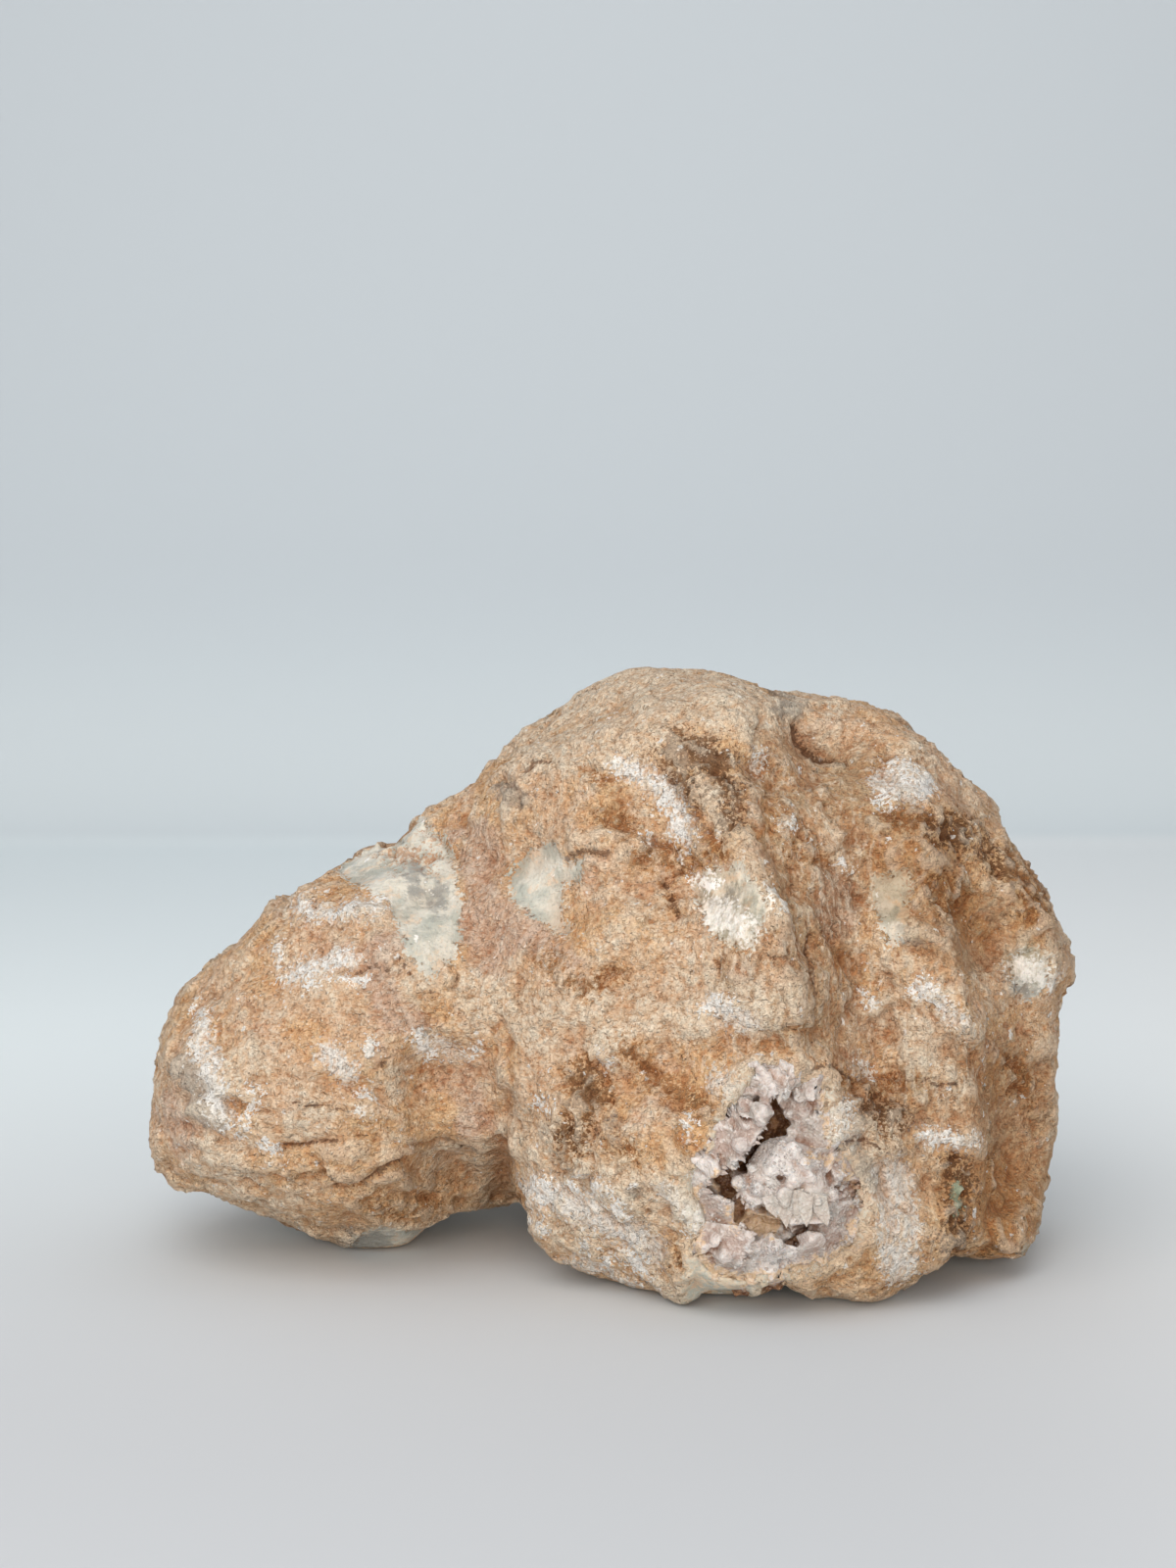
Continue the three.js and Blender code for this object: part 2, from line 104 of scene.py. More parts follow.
def sums(tree, operation, *values):
    """One step of arithmetic on masks and heights."""
    step = tree.nodes.new("ShaderNodeMath")
    step.operation = operation
    for value, socket in zip(values, step.inputs):
        feed(tree, value, socket)
    return step.outputs[0]


def times(tree, one, other):
    """One mask or height times another, or times a number."""
    return sums(tree, "MULTIPLY", one, other)


def edge(tree, value, low, high, least=0.0, most=1.0):
    """A mask that turns smoothly from `least` at low to `most` at high."""
    turn = tree.nodes.new("ShaderNodeMapRange")
    turn.interpolation_type = "SMOOTHSTEP"
    feed(tree, value, turn.inputs["Value"])
    turn.inputs["From Min"].default_value = low
    turn.inputs["From Max"].default_value = high
    turn.inputs["To Min"].default_value = least
    turn.inputs["To Max"].default_value = most
    return turn.outputs[0]


def over(tree, mask, under, upper, how="MIX"):
    """The upper colour laid over the one under it, as far as the mask lets it."""
    layer = tree.nodes.new("ShaderNodeMix")
    layer.data_type = "RGBA"
    layer.blend_type = how
    feed(tree, mask, layer.inputs[0])
    feed(tree, under, layer.inputs[6])
    feed(tree, upper, layer.inputs[7])
    return layer.outputs[2]


# Painted light and shade on the card: shaded near the front and at the wall's top, lit at the
# back, low on the wall and to the right.
TABLE_NEAR_SHADED = paint(205, 208, 212)
TABLE_FAR_LIT = paint(246, 253, 255)
WALL_LOW_LIT = paint(236, 243, 246)
WALL_TOP_SHADED = paint(220, 226, 231)
CARD_WHITE = paint(255, 255, 255)

table = bmesh.new()
bmesh.ops.create_grid(table, x_segments=1, y_segments=1, size=TABLE_HALF)
for corner in table.verts:
    corner.co.y = TABLE_FRONT if corner.co.y < 0 else TABLE_BACK
brink = [side for side in table.edges if all(end.co.y > 0 for end in side.verts)]
rises = [(TABLE_BACK + BEND * math.sin(turn), BEND * (1 - math.cos(turn)))
         for turn in (math.radians(90) * step / BEND_STEPS for step in range(1, BEND_STEPS + 1))]
for back, up in [*rises, (TABLE_BACK + BEND, WALL_TOP)]:
    grown = bmesh.ops.extrude_edge_only(table, edges=brink)["geom"]
    ends = [part for part in grown if isinstance(part, bmesh.types.BMVert)]
    for end in ends:
        end.co.y = back
        end.co.z = up
    brink = [part for part in grown
             if isinstance(part, bmesh.types.BMEdge) and all(end in ends for end in part.verts)]
bmesh.ops.scale(table, vec=(MM, MM, MM), verts=table.verts)
bmesh.ops.recalc_face_normals(table, faces=table.faces)
card_mesh = bpy.data.meshes.new("table_card")
table.to_mesh(card_mesh)
table.free()
card_mesh.shade_smooth()
card = bpy.data.objects.new("table_card", card_mesh)
bpy.context.collection.objects.link(card)

card_finish, tree, shader = new_finish("pale_card")
where = tree.nodes.new("ShaderNodeTexCoord")
place = tree.nodes.new("ShaderNodeSeparateXYZ")
tree.links.new(where.outputs["Object"], place.inputs[0])
wall = over(tree, edge(tree, place.outputs["Z"], WALL_LOW, WALL_HIGH),
            WALL_LOW_LIT, WALL_TOP_SHADED)
top = over(tree, edge(tree, place.outputs["Y"], TABLE_NEAR, TABLE_FAR),
           TABLE_NEAR_SHADED, TABLE_FAR_LIT)
top = over(tree, edge(tree, place.outputs["X"], GLOW_FROM, GLOW_TO, 0, GLOW), top, CARD_WHITE)
tree.links.new(over(tree, edge(tree, place.outputs["Z"], 0.0, WALL_LOW), top, wall),
               shader.inputs["Base Color"])
shader.inputs["Roughness"].default_value = 0.9
shader.inputs["Specular IOR Level"].default_value = 0.2
card_mesh.materials.append(card_finish)

# The stone: a fist of massive milky quartz that grew in a clay-filled vein. Baked clay, yellow,
# tan and rust-coloured with iron, still coats it, and bare quartz shows where flakes broke off.
# It formed and broke as one lump, so its skin is one closed surface, worked from coarse to fine.
SKIN_STEP = 0.745
NOISE_SEED = 3
FRONT_PLANE = 350
GIVE = 0.5
RIM_GIVE = 0.15
SMOOTH_ROUNDS = 16
LEVEL_ROUNDS = 26
MARK_REACH = 6
HOLLOW_REACH = 1.5

# The sizes of its broken faces, and how deep each kind of relief goes, all in mm.
BIG_CELL = 11
MID_CELL = 4.6
SMALL_CELL = 1.9
BIG_LEAN = 1.3
MID_LEAN = 1.0
SMALL_LEAN = 0.45
SWELL_DEPTH = 0.6
LUMP_DEPTH = 0.35
CRUMB_DEPTH = 0.3
RIFT_DEPTH = 0.35
CLAY_DEPTH = 0.55
FLUTE_DEPTH = 0.55
LEDGE_DEPTH = 0.75
PIT_DEPTH = 0.8
CLOT_HEIGHT = 0.5
LIP_HEIGHT = 1.2
SCALE_HEIGHT = 0.22
CRACK_DEPTH = 0.5
TOP_LOW = 80
TOP_HIGH = 86
PALE_FOOT_TOP = 27
PALE_FOOT_LOW = 7

# Bare patches of quartz, as closed outlines in mm across and up on an upright plane through the
# middle of the stone, as seen from the eye: three at the top and in the middle, the grey one on
# the shoulder, a chip at each foot and the white knob at the right.
BARE = (
    ((-43.5, 58), (-40.5, 62), (-36, 66), (-32.5, 68.5), (-29.5, 68), (-27.5, 64), (-24.5, 61.5),
     (-23.5, 57.5), (-22.5, 52.5), (-22.5, 46.5), (-23.5, 43), (-26, 41.5), (-27, 39), (-29.5, 42),
     (-31.5, 44.5), (-32.5, 49), (-34, 52.5), (-37, 54), (-40.5, 55.5)),
    ((-13, 60), (-8.5, 61), (-7, 58), (-4, 59), (-4.5, 57), (-5, 54.5), (-7.5, 54.5), (-7.5, 49),
     (-5, 48), (-7, 46.5), (-10, 48), (-13, 50), (-15.5, 52.5), (-16, 56)),
    ((11, 55), (15.5, 57.5), (19.5, 58), (22, 54), (23.5, 51), (21.5, 44.5), (19, 44),
     (14.5, 46.5), (12.5, 51)),
    ((39, 55.5), (44.5, 57), (46, 54.5), (44.5, 51.5), (44.5, 48.5), (43, 45.5), (41, 44.5),
     (40, 48), (38.5, 52)),
    ((-40.5, -2.5), (-39, 0.5), (-34.5, 2), (-29, 1), (-27.5, -0.5), (-29.5, -2.5), (-35, -3)),
    ((58.5, 43.5), (62.5, 45.5), (66.5, 43.5), (66, 38), (61, 36)),
    ((61.5, -0.5), (64, 0), (64, -5), (62.5, -7)),
)

# The rim of finer quartz in which the pocket of crystals sits, down to the foot of the stone.
POCKET_RIM = (
    (21.5, 26.5), (27.5, 24.5), (31.5, 23.5), (31.5, 17), (33, 14.5), (36.5, 8), (37.5, 5.5),
    (36.5, 1.5), (32, -2), (27, -4.5), (23, -5.5), (20.5, -8), (17, -11), (11.5, -7.5), (13, -1.5),
    (14, 1.5), (11.5, 8), (11.5, 11.5), (15.5, 12.5), (16, 18), (18.5, 21.5),
)

# Where the skin runs in upright flutes, and where it lies in low, nearly level ledges.
FLUTED = ((9.5, 54.5), (20, 57.5), (17, 74), (30, 74), (40, 65), (40, 47), (55, 38), (58, 25),
          (47.5, 19), (33, 26), (11, 26), (9.5, 39.5))
LEDGED = ((-67, 22), (-48, 27.5), (-30, 23), (-18.5, 17), (-20, 2.5), (-40.5, -3), (-59.5, 7),
          (-68.5, 13))

# Where the clay lies smooth, with its grain but without crumbs: spots with their half width.
SMOOTH = ((-48, 30, 17), (-32, 24, 15), (-19.5, 52, 6), (-12, 42, 10), (5, 46, 8), (24, 60, 5))

# Creases and overhangs: depth, half width, and the line that each follows on that plane.
CREASES = (
    (1.2, 1.6, (-19, 19), (-17.5, 13), (-17, 7), (-18, 2), (-19, -1)),
    (1.2, 1.4, (-17.5, 13), (-15.5, 8), (-13.5, 3), (-12, -1)),
    (1, 1.3, (28, 78.5), (28.5, 76.5), (30.5, 74.5), (34, 72.5)),
    (0.5, 0.6, (-7, 57.5), (-5, 58.6), (-3.5, 59), (-0.5, 58.5)),
    (1.2, 1.2, (55.5, 60), (57, 58.5), (58.5, 56.5)),
    (1.2, 1.5, (42.5, 44.5), (46, 45), (50, 44), (53.5, 41.5), (55.5, 37)),
    (1, 1.6, (31, 40), (31.5, 33), (30, 27.5)),
    (0.7, 0.9, (-42, 7.5), (-38.5, 8), (-35.5, 10), (-31, 12.5)),
    (0.5, 0.8, (-50, 14), (-47, 14.5), (-44.5, 15), (-41, 16)),
    (0.5, 0.6, (-26, 62), (-23, 58), (-22, 52), (-22, 46)),
    (1, 1, (23.5, -7), (28.5, -3.8), (34.5, -1.5), (37, 1.5)),
    (0.9, 1.2, (16.5, 72), (18.8, 68.5), (18, 64)),
    (1.3, 2.2, (52, 29), (57, 25), (59, 17), (59, 8), (58, 0), (55, -7)),
    (1.2, 2.4, (22, 72), (24.5, 62), (28, 52), (30, 44)),
    (2.6, 1.8, (22.5, -14), (23, -10), (24.5, -7.5)),
    (-1.2, 2.4, (9.5, 74), (19.5, 60.5), (25.5, 45.5), (30, 28)),
    (-0.8, 1.6, (42.5, 47.5), (47, 47.5), (52, 43), (56, 37)),
)

# Where it stands clear of the table between its feet: from and to across, from and to in depth,
# and how high.
HOLLOW_FEET = ((-29, -9, -30, 14, 2.8), (22.6, 24.8, -46, -14, 2.6), (42, 58, -44, 0, 1.8))
HOLLOW_SIDE = 2.5
HOLLOW_END = 4
HOLLOW_TOP = 6

# Marks on the skin, each with its half width and the line that it follows on that plane: white
# scale, thin frosty quartz, cracks, rust, iron ore, clays (the brown partly painted shade, the
# pale partly painted light), smoky quartz and a speck of green.
MARKS = {}
MARKS["chalk"] = (
    (1, (-62, 35.5), (-61.5, 32), (-62.5, 30.5), (-61, 28.5), (-60.5, 25.5), (-58, 23.5),
     (-60, 20.5), (-59, 18)), (0.7, (-54, 23.5), (-54.5, 20.5), (-56.5, 16)),
    (0.9, (-53, 15), (-51, 13)), (1, (-36, 30.5), (-36, 29)),
    (0.8, (-29.5, 31.5), (-28, 29), (-27, 28.5)), (1.2, (-37, 22.5), (-37, 20.5)),
    (0.5, (-50, 45.5), (-49.5, 40.5)), (0.55, (-48, 40.5), (-44, 42), (-40, 43)),
    (0.7, (-46.5, 51), (-44.5, 49.5)), (0.7, (-41.5, 50.5), (-39, 51), (-36.5, 50.5)),
    (0.7, (-36, 52), (-34.5, 51.5)), (0.8, (-46, 40), (-44.5, 38.5)),
    (0.7, (-41, 40), (-37.5, 40)), (1, (0.5, 72), (1, 71.5)), (0.9, (3, 72.5), (3.5, 71.5)),
    (1.2, (6.5, 69.5), (7, 68.5)), (0.8, (7.5, 66.5), (9.5, 65.5)), (1.8, (9.5, 63), (10.5, 61.5)),
    (0.9, (5.5, 61), (5.5, 60.5)), (0.9, (11, 60), (11, 59.5)), (0.9, (21, 74.5), (22.5, 73.5)),
    (0.7, (26, 64), (26.5, 63)), (0.6, (34.5, 58), (35.5, 57)), (1, (23.5, 53.5), (24.5, 51)),
    (1.3, (14.5, 36), (16.5, 36), (17.5, 35)), (1.2, (42.5, 72), (44, 71)),
    (1.2, (45.5, 70), (46.5, 69)), (1, (40.5, 67.5), (41, 66.5)),
    (1.2, (46.5, 38.5), (49.5, 36.5)), (0.8, (-10.5, 21.5), (-9, 20.5)),
    (1.6, (-11, 8.5), (-10.5, 7)), (1, (-5, 11), (-5, 10.5)), (0.9, (-15, 9.5), (-14.5, 8.5)),
    (1.1, (-2, 8.5), (0, 6.5), (2, 4.5)), (1, (-11.5, 3), (-10.5, 2)), (1, (-4.5, 0), (-3.5, -1)),
    (1, (-0.5, -3), (-0.5, -4)), (1.7, (3, -2.5), (4.5, -3.5)), (1.2, (2, -8), (4.5, -9)),
    (1, (6.5, -5.5), (7, -5.5)), (1.5, (13, 11.5), (14, 10)), (1.4, (12, 4), (13.5, 2)),
    (0.9, (-1, 28), (-1, 27)), (1, (34, 20.5), (35, 17.5)), (1, (37.5, 26.5), (38.5, 26)),
    (0.8, (47.5, 16), (51.5, 16.5), (54.5, 16)), (0.8, (11, 19), (12, 16)),
    (0.8, (-7, 8.5), (-4.5, 6.5), (-3, 4)), (0.8, (2, 0.5), (4, -0.5)),
    (0.8, (-21.5, 29), (-20, 30.5)), (1.4, (13, 55.5), (14, 54.5)), (1, (37.5, 38), (39, 36.5)),
)
MARKS["frost"] = (
    (3.4, (42.5, 10), (43, 3), (43.5, -4)), (2.4, (15, 50.5), (19.5, 47.5)),
    (1.6, (14, 36), (18, 35), (21, 33)), (2, (16.5, 25), (19.5, 22.5)),
    (1.4, (47.5, 16), (54.5, 16)), (1.8, (-47, 51), (-40, 50.5), (-35, 51.5)),
    (1.8, (-48, 40.5), (-40, 43)), (2.2, (-61.5, 33), (-60.5, 26), (-59, 20)),
    (2.4, (40.5, 70), (46, 69)), (2.6, (-12, 8), (-3, 4), (6, -1)), (2, (8, 8), (13, 4)),
    (2, (61, 42), (66, 40)), (1.8, (47, 38), (53, 33)), (2, (-43, 29), (-40, 26)),
    (1.6, (-29, 31), (-24, 29)), (1.8, (2, 72), (8, 68), (11, 62)), (2, (34, 20), (35, 16)),
    (1.6, (-6, -3), (3, -7)),
)
MARKS["crack"] = (
    (0.28, (-24, 42), (-23, 40.5), (-24, 39)), (0.3, (-27.5, 38), (-27, 37)),
    (0.28, (-32, 43.5), (-31, 42), (-30, 41)), (0.3, (-13.5, 71.5), (-12, 72.5), (-9.5, 73)),
    (0.5, (28, 78.5), (28.5, 76.5), (30.5, 74.5), (33, 73)),
    (0.45, (8, 54.5), (9, 52.5), (9.5, 49.5)),
    (0.4, (23.5, 43.5), (25, 43), (26.5, 43), (26.5, 44.5)),
    (0.5, (-7, 58), (-5, 59), (-4, 59.5), (-0.5, 59)),
    (0.4, (-50, 14), (-47, 14.5), (-44.5, 15), (-41, 16)),
    (0.5, (-42, 7.5), (-38.5, 8), (-35.5, 10), (-31, 12.5)),
    (0.3, (-48, 22), (-45.5, 21.5), (-42.5, 21.5), (-40, 20.5)),
    (0.3, (-40.5, 41), (-36, 42), (-33, 41)), (0.4, (46.5, 25), (49, 23.5), (53, 23.5)),
    (0.4, (28.5, 26), (33, 27), (36, 25.5)), (0.35, (30.5, 46.5), (31, 39.5), (30.5, 33.5)),
    (0.4, (34.5, 14.5), (37, 16), (41, 14.5)), (0.6, (-34.5, 27.2), (-34.5, 26.8)),
)
MARKS["rust"] = (
    (4, (-4, 24.5), (-3, 21.5)), (1.8, (-7, 19), (-5, 16), (-7, 12.5)),
    (2.2, (2, 29), (4.5, 26.5)), (2.4, (7, 25), (11, 22), (15.5, 19.5)),
    (1.8, (0.5, 16), (3, 13.5)), (1.6, (-33.5, 59.5), (-30.5, 59), (-27.5, 58.5)),
    (0.8, (-30, 67), (-29.5, 66.5)), (0.8, (-28, 66.5), (-27.5, 66)),
    (1.1, (-27.5, 62.5), (-27, 62)), (2, (-1, 65), (5, 59), (11, 57.5)),
    (1.6, (11.5, 65), (13.5, 60.5), (16.5, 58.5)), (1.2, (8, 54.5), (9, 52), (10, 49.5)),
    (3, (59.5, 57.5), (63, 54.5), (64, 51)), (2.4, (43, 65), (47.5, 64), (53, 62)),
    (2.2, (46, 54), (50.5, 54), (50.5, 51)), (1.6, (24, -7.5), (28.5, -3.5), (34.5, -1.5)),
    (1.2, (41, 16), (44, 13.5)), (1.8, (-9.5, 43.5), (-7, 41)), (1.4, (-4, 39.5), (0.5, 40.5)),
    (1.6, (34.5, 25), (39, 23.5), (44, 25)), (1.4, (-37.5, 6), (-33, 4.5), (-27.5, 5.5)),
    (1, (-15.5, 69.5), (-14, 67)), (1.2, (-4, 71), (-1.5, 69.5)), (1.2, (28.5, 60.5), (33, 57.5)),
    (1.6, (61, 27.5), (62.5, 22)), (1.4, (9.5, -0.5), (11, -3.5)),
)
MARKS["umber"] = (
    (2.6, (10, 74), (13, 73.5), (15.5, 72.5)), (1.8, (16, 71.5), (18, 68.5), (17.5, 64)),
    (2.2, (9.5, 70), (11.5, 67)), (1.6, (-4, 25), (-3, 22)), (2, (49, 62.5), (52, 61.5)),
    (1.6, (51.5, 13), (53, 7), (51.5, 0.5)), (1.2, (56, 59.5), (58, 57)),
    (1.2, (-5.5, 18), (-6, 16)), (1.4, (37.5, 20.5), (43, 19)), (1, (23, -6), (28, -4), (32, -2)),
    (1, (47.5, -8.5), (53.5, -7)), (1, (33, 14), (35.5, 15)),
)
MARKS["ochre"] = (
    (3, (-43.5, 55.5), (-37.5, 55), (-34.5, 54.5)), (1.8, (-52, 39.5), (-50.5, 39)),
    (3.6, (-51, 11.5), (-42, 10), (-30.5, 9)), (3.6, (-43.5, 5.5), (-30.5, 6), (-23, 7.5)),
    (1.6, (-14, 56), (-13.5, 55)), (2, (12.5, 60), (14, 58.5)),
    (2.8, (-15.5, -0.5), (-9.5, -3.5), (2, -6.5)), (1.6, (39.5, 71), (40.5, 70)),
    (4.5, (58, 8.5), (61, 1), (60, -5)), (1.6, (31, 21), (32, 16)), (2.4, (9.5, 14.5), (14, 16)),
    (2.4, (-46.5, 32), (-42, 26)), (2, (-55.5, 20.5), (-53, 17.5)), (2.2, (36, 42.5), (38, 39.5)),
    (1.8, (28.5, -5), (34.5, -6.5)), (2, (-7, 49.5), (-4, 47)), (2, (40.5, 57.5), (44.5, 59)),
)
# Brown clay, partly painted shade on the trough and the right side, which face away from the key
# lamp.
MARKS["brown_and_shade"] = (
    (8, (36, 68), (46, 60)), (8, (43, 57), (52, 48)), (6, (24, 70), (29, 50), (31, 34)),
    (8, (60, 24), (60, -4)), (4, (33, 24), (45, 22)), (4, (52, 12), (52, -4)),
    (4, (62, 52), (63, 44)), (3, (38, -4), (46, -9)), (3.5, (15, 58), (20, 42)),
)
MARKS["mauve"] = (
    (3.6, (-19.5, 60.5), (-19.5, 51.5), (-18.5, 42)), (2.4, (-17.5, 51), (-12.5, 47), (-7, 42.5)),
    (2.4, (-66.5, 20.5), (-64, 15)), (2.6, (-33, 45.5), (-36, 39.5), (-30.5, 33.5)),
    (2, (19.5, 42), (21, 38)), (2.4, (33, 54.5), (34.5, 48.5)), (2.2, (-21.5, 25), (-20.5, 17.5)),
)
MARKS["pale"] = (
    (5, (-9.5, 81.5), (2, 83), (14, 81.5), (24, 82.5)), (4, (-12.5, 75.5), (-4, 74), (5, 77.5)),
    (1.2, (12, 81.5), (14.5, 76)), (3, (34.5, 69.5), (39, 68), (41, 66)),
    (2.5, (11, 39.5), (19.5, 38), (24, 33.5)), (3, (-9.5, 35), (2, 38), (11, 33.5)),
    (2, (59.5, 45.5), (64, 42.5)), (3, (-21.5, 39.5), (-12.5, 33.5)),
    (2, (40.5, 39.5), (44.5, 30.5), (46, 25)), (2.4, (-14, 19), (-12, 13)),
    (2, (-30.5, 69.5), (-27.5, 67.5)), (2, (-43.5, 20.5), (-48, 16)), (2, (5, 10), (9.5, 5.5)),
    # The runs on the low front faces below are partly pale clay and partly painted light bounced
    # up from the table.
    (5, (-58, 12), (-46, 6), (-34, 5), (-24, 8)), (5, (-10, 0), (-3, -6), (8, -9)),
    (4, (-8, 14), (2, 8), (9, 3)), (3, (24, -9), (34, -9)), (3, (-2, 32), (8, 34)),
)
MARKS["green"] = ((0.7, (52.2, 8.6), (52.9, 5.4)),)
MARKS["smoke"] = (
    (1.6, (-36.5, 62), (-35, 62)), (1.6, (-29.5, 56.5), (-29, 54.5)),
    (1.2, (-26, 53.5), (-26, 52)), (2, (-15.5, 68.5), (-14.5, 67.5)),
    (2.6, (-64, 26), (-62, 23.5), (-60.5, 19.5)), (1, (-1, 18), (-0.5, 17.5)),
    (1, (3, 7.5), (3, 7)), (2.6, (-39, -1.5), (-35.5, -1.5)), (1.8, (38, 11.5), (39.5, 10)),
    (1.2, (59.5, 39.5), (62.5, 38)), (1.4, (37, 17.5), (37.5, 14.5)), (1.4, (16, 51), (17, 52.5)),
    (1.2, (25.5, 81.5), (27.5, 80.5)), (1.2, (44.5, 46.5), (46, 45.5)),
)


def merged_copy(node, name):
    """A copy of a node's mesh with its loose triangles joined up, as a piece of its own."""
    joined = bmesh.new()
    joined.from_mesh(node.data)
    bmesh.ops.remove_doubles(joined, verts=joined.verts, dist=1e-7)
    copy = bpy.data.meshes.new(name)
    joined.to_mesh(copy)
    joined.free()
    piece = bpy.data.objects.new(name, copy)
    bpy.context.collection.objects.link(piece)
    return piece


def settle(piece):
    """The piece's modifiers made part of its mesh."""
    shown = piece.evaluated_get(bpy.context.evaluated_depsgraph_get())
    mesh = bpy.data.meshes.new_from_object(shown)
    piece.modifiers.clear()
    piece.data = mesh
    mesh.materials.clear()
    mesh.shade_smooth()


def even_skin(piece, step):
    """The piece's surface laid anew in even squares, `step` mm wide."""
    net = piece.modifiers.new("even skin", "REMESH")
    net.mode = "VOXEL"
    net.voxel_size = step * MM
    settle(piece)


def points_of(mesh):
    """The points of a mesh, in mm."""
    points = np.empty(len(mesh.vertices) * 3)
    mesh.vertices.foreach_get("co", points)
    return points.reshape(-1, 3) / MM


def move_points(mesh, points):
    """Puts the points of a mesh in their new places."""
    mesh.vertices.foreach_set("co", (points * MM).ravel())
    mesh.update()


def normals_of(mesh):
    """Which way the skin faces at each point."""
    normals = np.empty(len(mesh.vertices) * 3)
    mesh.vertex_normals.foreach_get("vector", normals)
    return normals.reshape(-1, 3)


def ironed(mesh, points, rounds, give):
    """Each point drawn towards the middle of its neighbours, a little at a time."""
    sides = np.empty(len(mesh.edges) * 2, dtype=np.int32)
    mesh.edges.foreach_get("vertices", sides)
    one, other = sides.reshape(-1, 2).T
    count = len(points)
    ways = np.bincount(one, minlength=count) + np.bincount(other, minlength=count)
    for _ in range(rounds):
        middle = np.stack([np.bincount(one, points[other, axis], count)
                           + np.bincount(other, points[one, axis], count)
                           for axis in range(3)], axis=1)
        points = points + give[:, None] * (middle / ways[:, None] - points)
    return points


def ramp(values, low, high):
    """0 at low and under it, 1 at high and over it, and smooth between them."""
    share = np.clip((values - low) / (high - low), 0, 1)
    return share * share * (3 - 2 * share)


def swells(points, size, seed, octaves, stretch=(1, 1, 1)):
    """Uneven swellings about `size` mm across, between -1 and 1."""
    spots = points / (np.array(stretch) * size) + 13.7 * seed
    return np.array([noise.fractal(spot, 1.0, 2.0, octaves) for spot in spots.tolist()])


def flakes(points, size, seed):
    """Broken faces about `size` mm across: the lean of each, how far in from its rim each point
    lies, and a number of its own for each face."""
    leans = np.empty(len(points))
    rims = np.empty(len(points))
    names = np.empty(len(points))
    for count, spot in enumerate((points / size + 7.3 * seed).tolist()):
        away, middles = noise.voronoi(spot)
        slope = noise.noise_vector(middles[0] * 5.3)
        leans[count] = (Vector(spot) - middles[0]).dot(slope) + 0.5 * slope.x
        rims[count] = away[1] - away[0]
        names[count] = noise.noise(middles[0] * 3.1)
    return leans, rims, names


def on_front(points):
    """Where points are seen on the upright plane through the middle, looking from the eye."""
    pull = FRONT_PLANE / (points[:, 1] - EYE.y)
    return np.stack([EYE.x + (points[:, 0] - EYE.x) * pull, EYE.z + (points[:, 2] - EYE.z) * pull],
                    axis=1)


def off_line(spots, line):
    """How far spots lie from a line of straight runs."""
    nearest = np.full(len(spots), np.inf)
    for start, end in zip(np.array(line[:-1], float), np.array(line[1:], float)):
        run = end - start
        along = np.clip(((spots - start) @ run) / max(run @ run, 1e-9), 0, 1)
        nearest = np.minimum(nearest, np.linalg.norm(spots - start - along[:, None] * run, axis=1))
    return nearest


def inside(spots, outline):
    """How far spots lie inside a closed outline, and below 0 outside it."""
    ring = [*outline, outline[0]]
    within = np.zeros(len(spots), bool)
    for (left, low), (right, high) in zip(ring[:-1], ring[1:]):
        if low != high:
            crosses = (low > spots[:, 1]) != (high > spots[:, 1])
            reach = left + (spots[:, 1] - low) * (right - left) / (high - low)
            within ^= crosses & (spots[:, 0] < reach)
    away = off_line(spots, ring)
    return np.where(within, away, -away)


def in_any(spots, outlines):
    """How far spots lie inside the outline that holds them best."""
    return np.max([inside(spots, outline) for outline in outlines], axis=0)


def on_lines(spots, lines):
    """How far spots lie within the half width of the line that holds them best."""
    return np.max([half - off_line(spots, line) for half, *line in lines], axis=0)


def near_spots(spots, rounds, low, high):
    """1 inside any of the round spots, each with its half width, and 0 outside them."""
    return np.max([ramp(half - np.linalg.norm(spots - np.array((across, up)), axis=1), low, high)
                   for across, up, half in rounds], axis=0)


def facing_eye(points, normals):
    """How squarely the skin faces the eye at each point: 1 for straight at it, 0 for edge on."""
    sight = np.array(EYE) - points
    sight /= np.linalg.norm(sight, axis=1)[:, None]
    return (normals * sight).sum(axis=1)


def hollowness(mesh, points, rounds):
    """How far each point lies below the smoothed skin around it, and below 0 above it."""
    smooth = ironed(mesh, points, rounds, np.full(len(points), GIVE))
    below = ((smooth - points) * normals_of(mesh)).sum(axis=1)
    return np.clip(below, -HOLLOW_REACH, HOLLOW_REACH)


def keep_field(mesh, name, values):
    """A number kept for each point of the mesh, for the finish to read."""
    kept = mesh.attributes.new(name, "FLOAT", "POINT")
    kept.data.foreach_set("value", np.ascontiguousarray(values, dtype=np.float32))


noise.seed_set(NOISE_SEED)
boulder = merged_copy(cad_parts["stone"], "quartz_boulder")
even_skin(boulder, SKIN_STEP)
skin = boulder.data
points = points_of(skin)
pocket = inside(on_front(points), POCKET_RIM)
points = ironed(skin, points, SMOOTH_ROUNDS, np.where(pocket > -1.5, RIM_GIVE, GIVE))
move_points(skin, points)
normals = normals_of(skin)
front = on_front(points)
pocket = inside(front, POCKET_RIM)
seen = ramp(facing_eye(points, normals), -0.05, 0.12)

warp = np.stack([swells(points, 5, 21 + axis, 2) for axis in range(3)], axis=1)
bent = points + 1.3 * warp
lean_big, rim_big, name_big = flakes(bent, BIG_CELL, 1)
lean_mid, rim_mid, name_mid = flakes(bent, MID_CELL, 2)
lean_small = flakes(points + 0.5 * warp, SMALL_CELL, 3)[0]

drift = front + 0.9 * warp[:, ::2]
marks = {kind: on_lines(drift, lines) for kind, lines in MARKS.items()}
marks["bare"] = in_any(front, BARE)
marks["druse"] = pocket

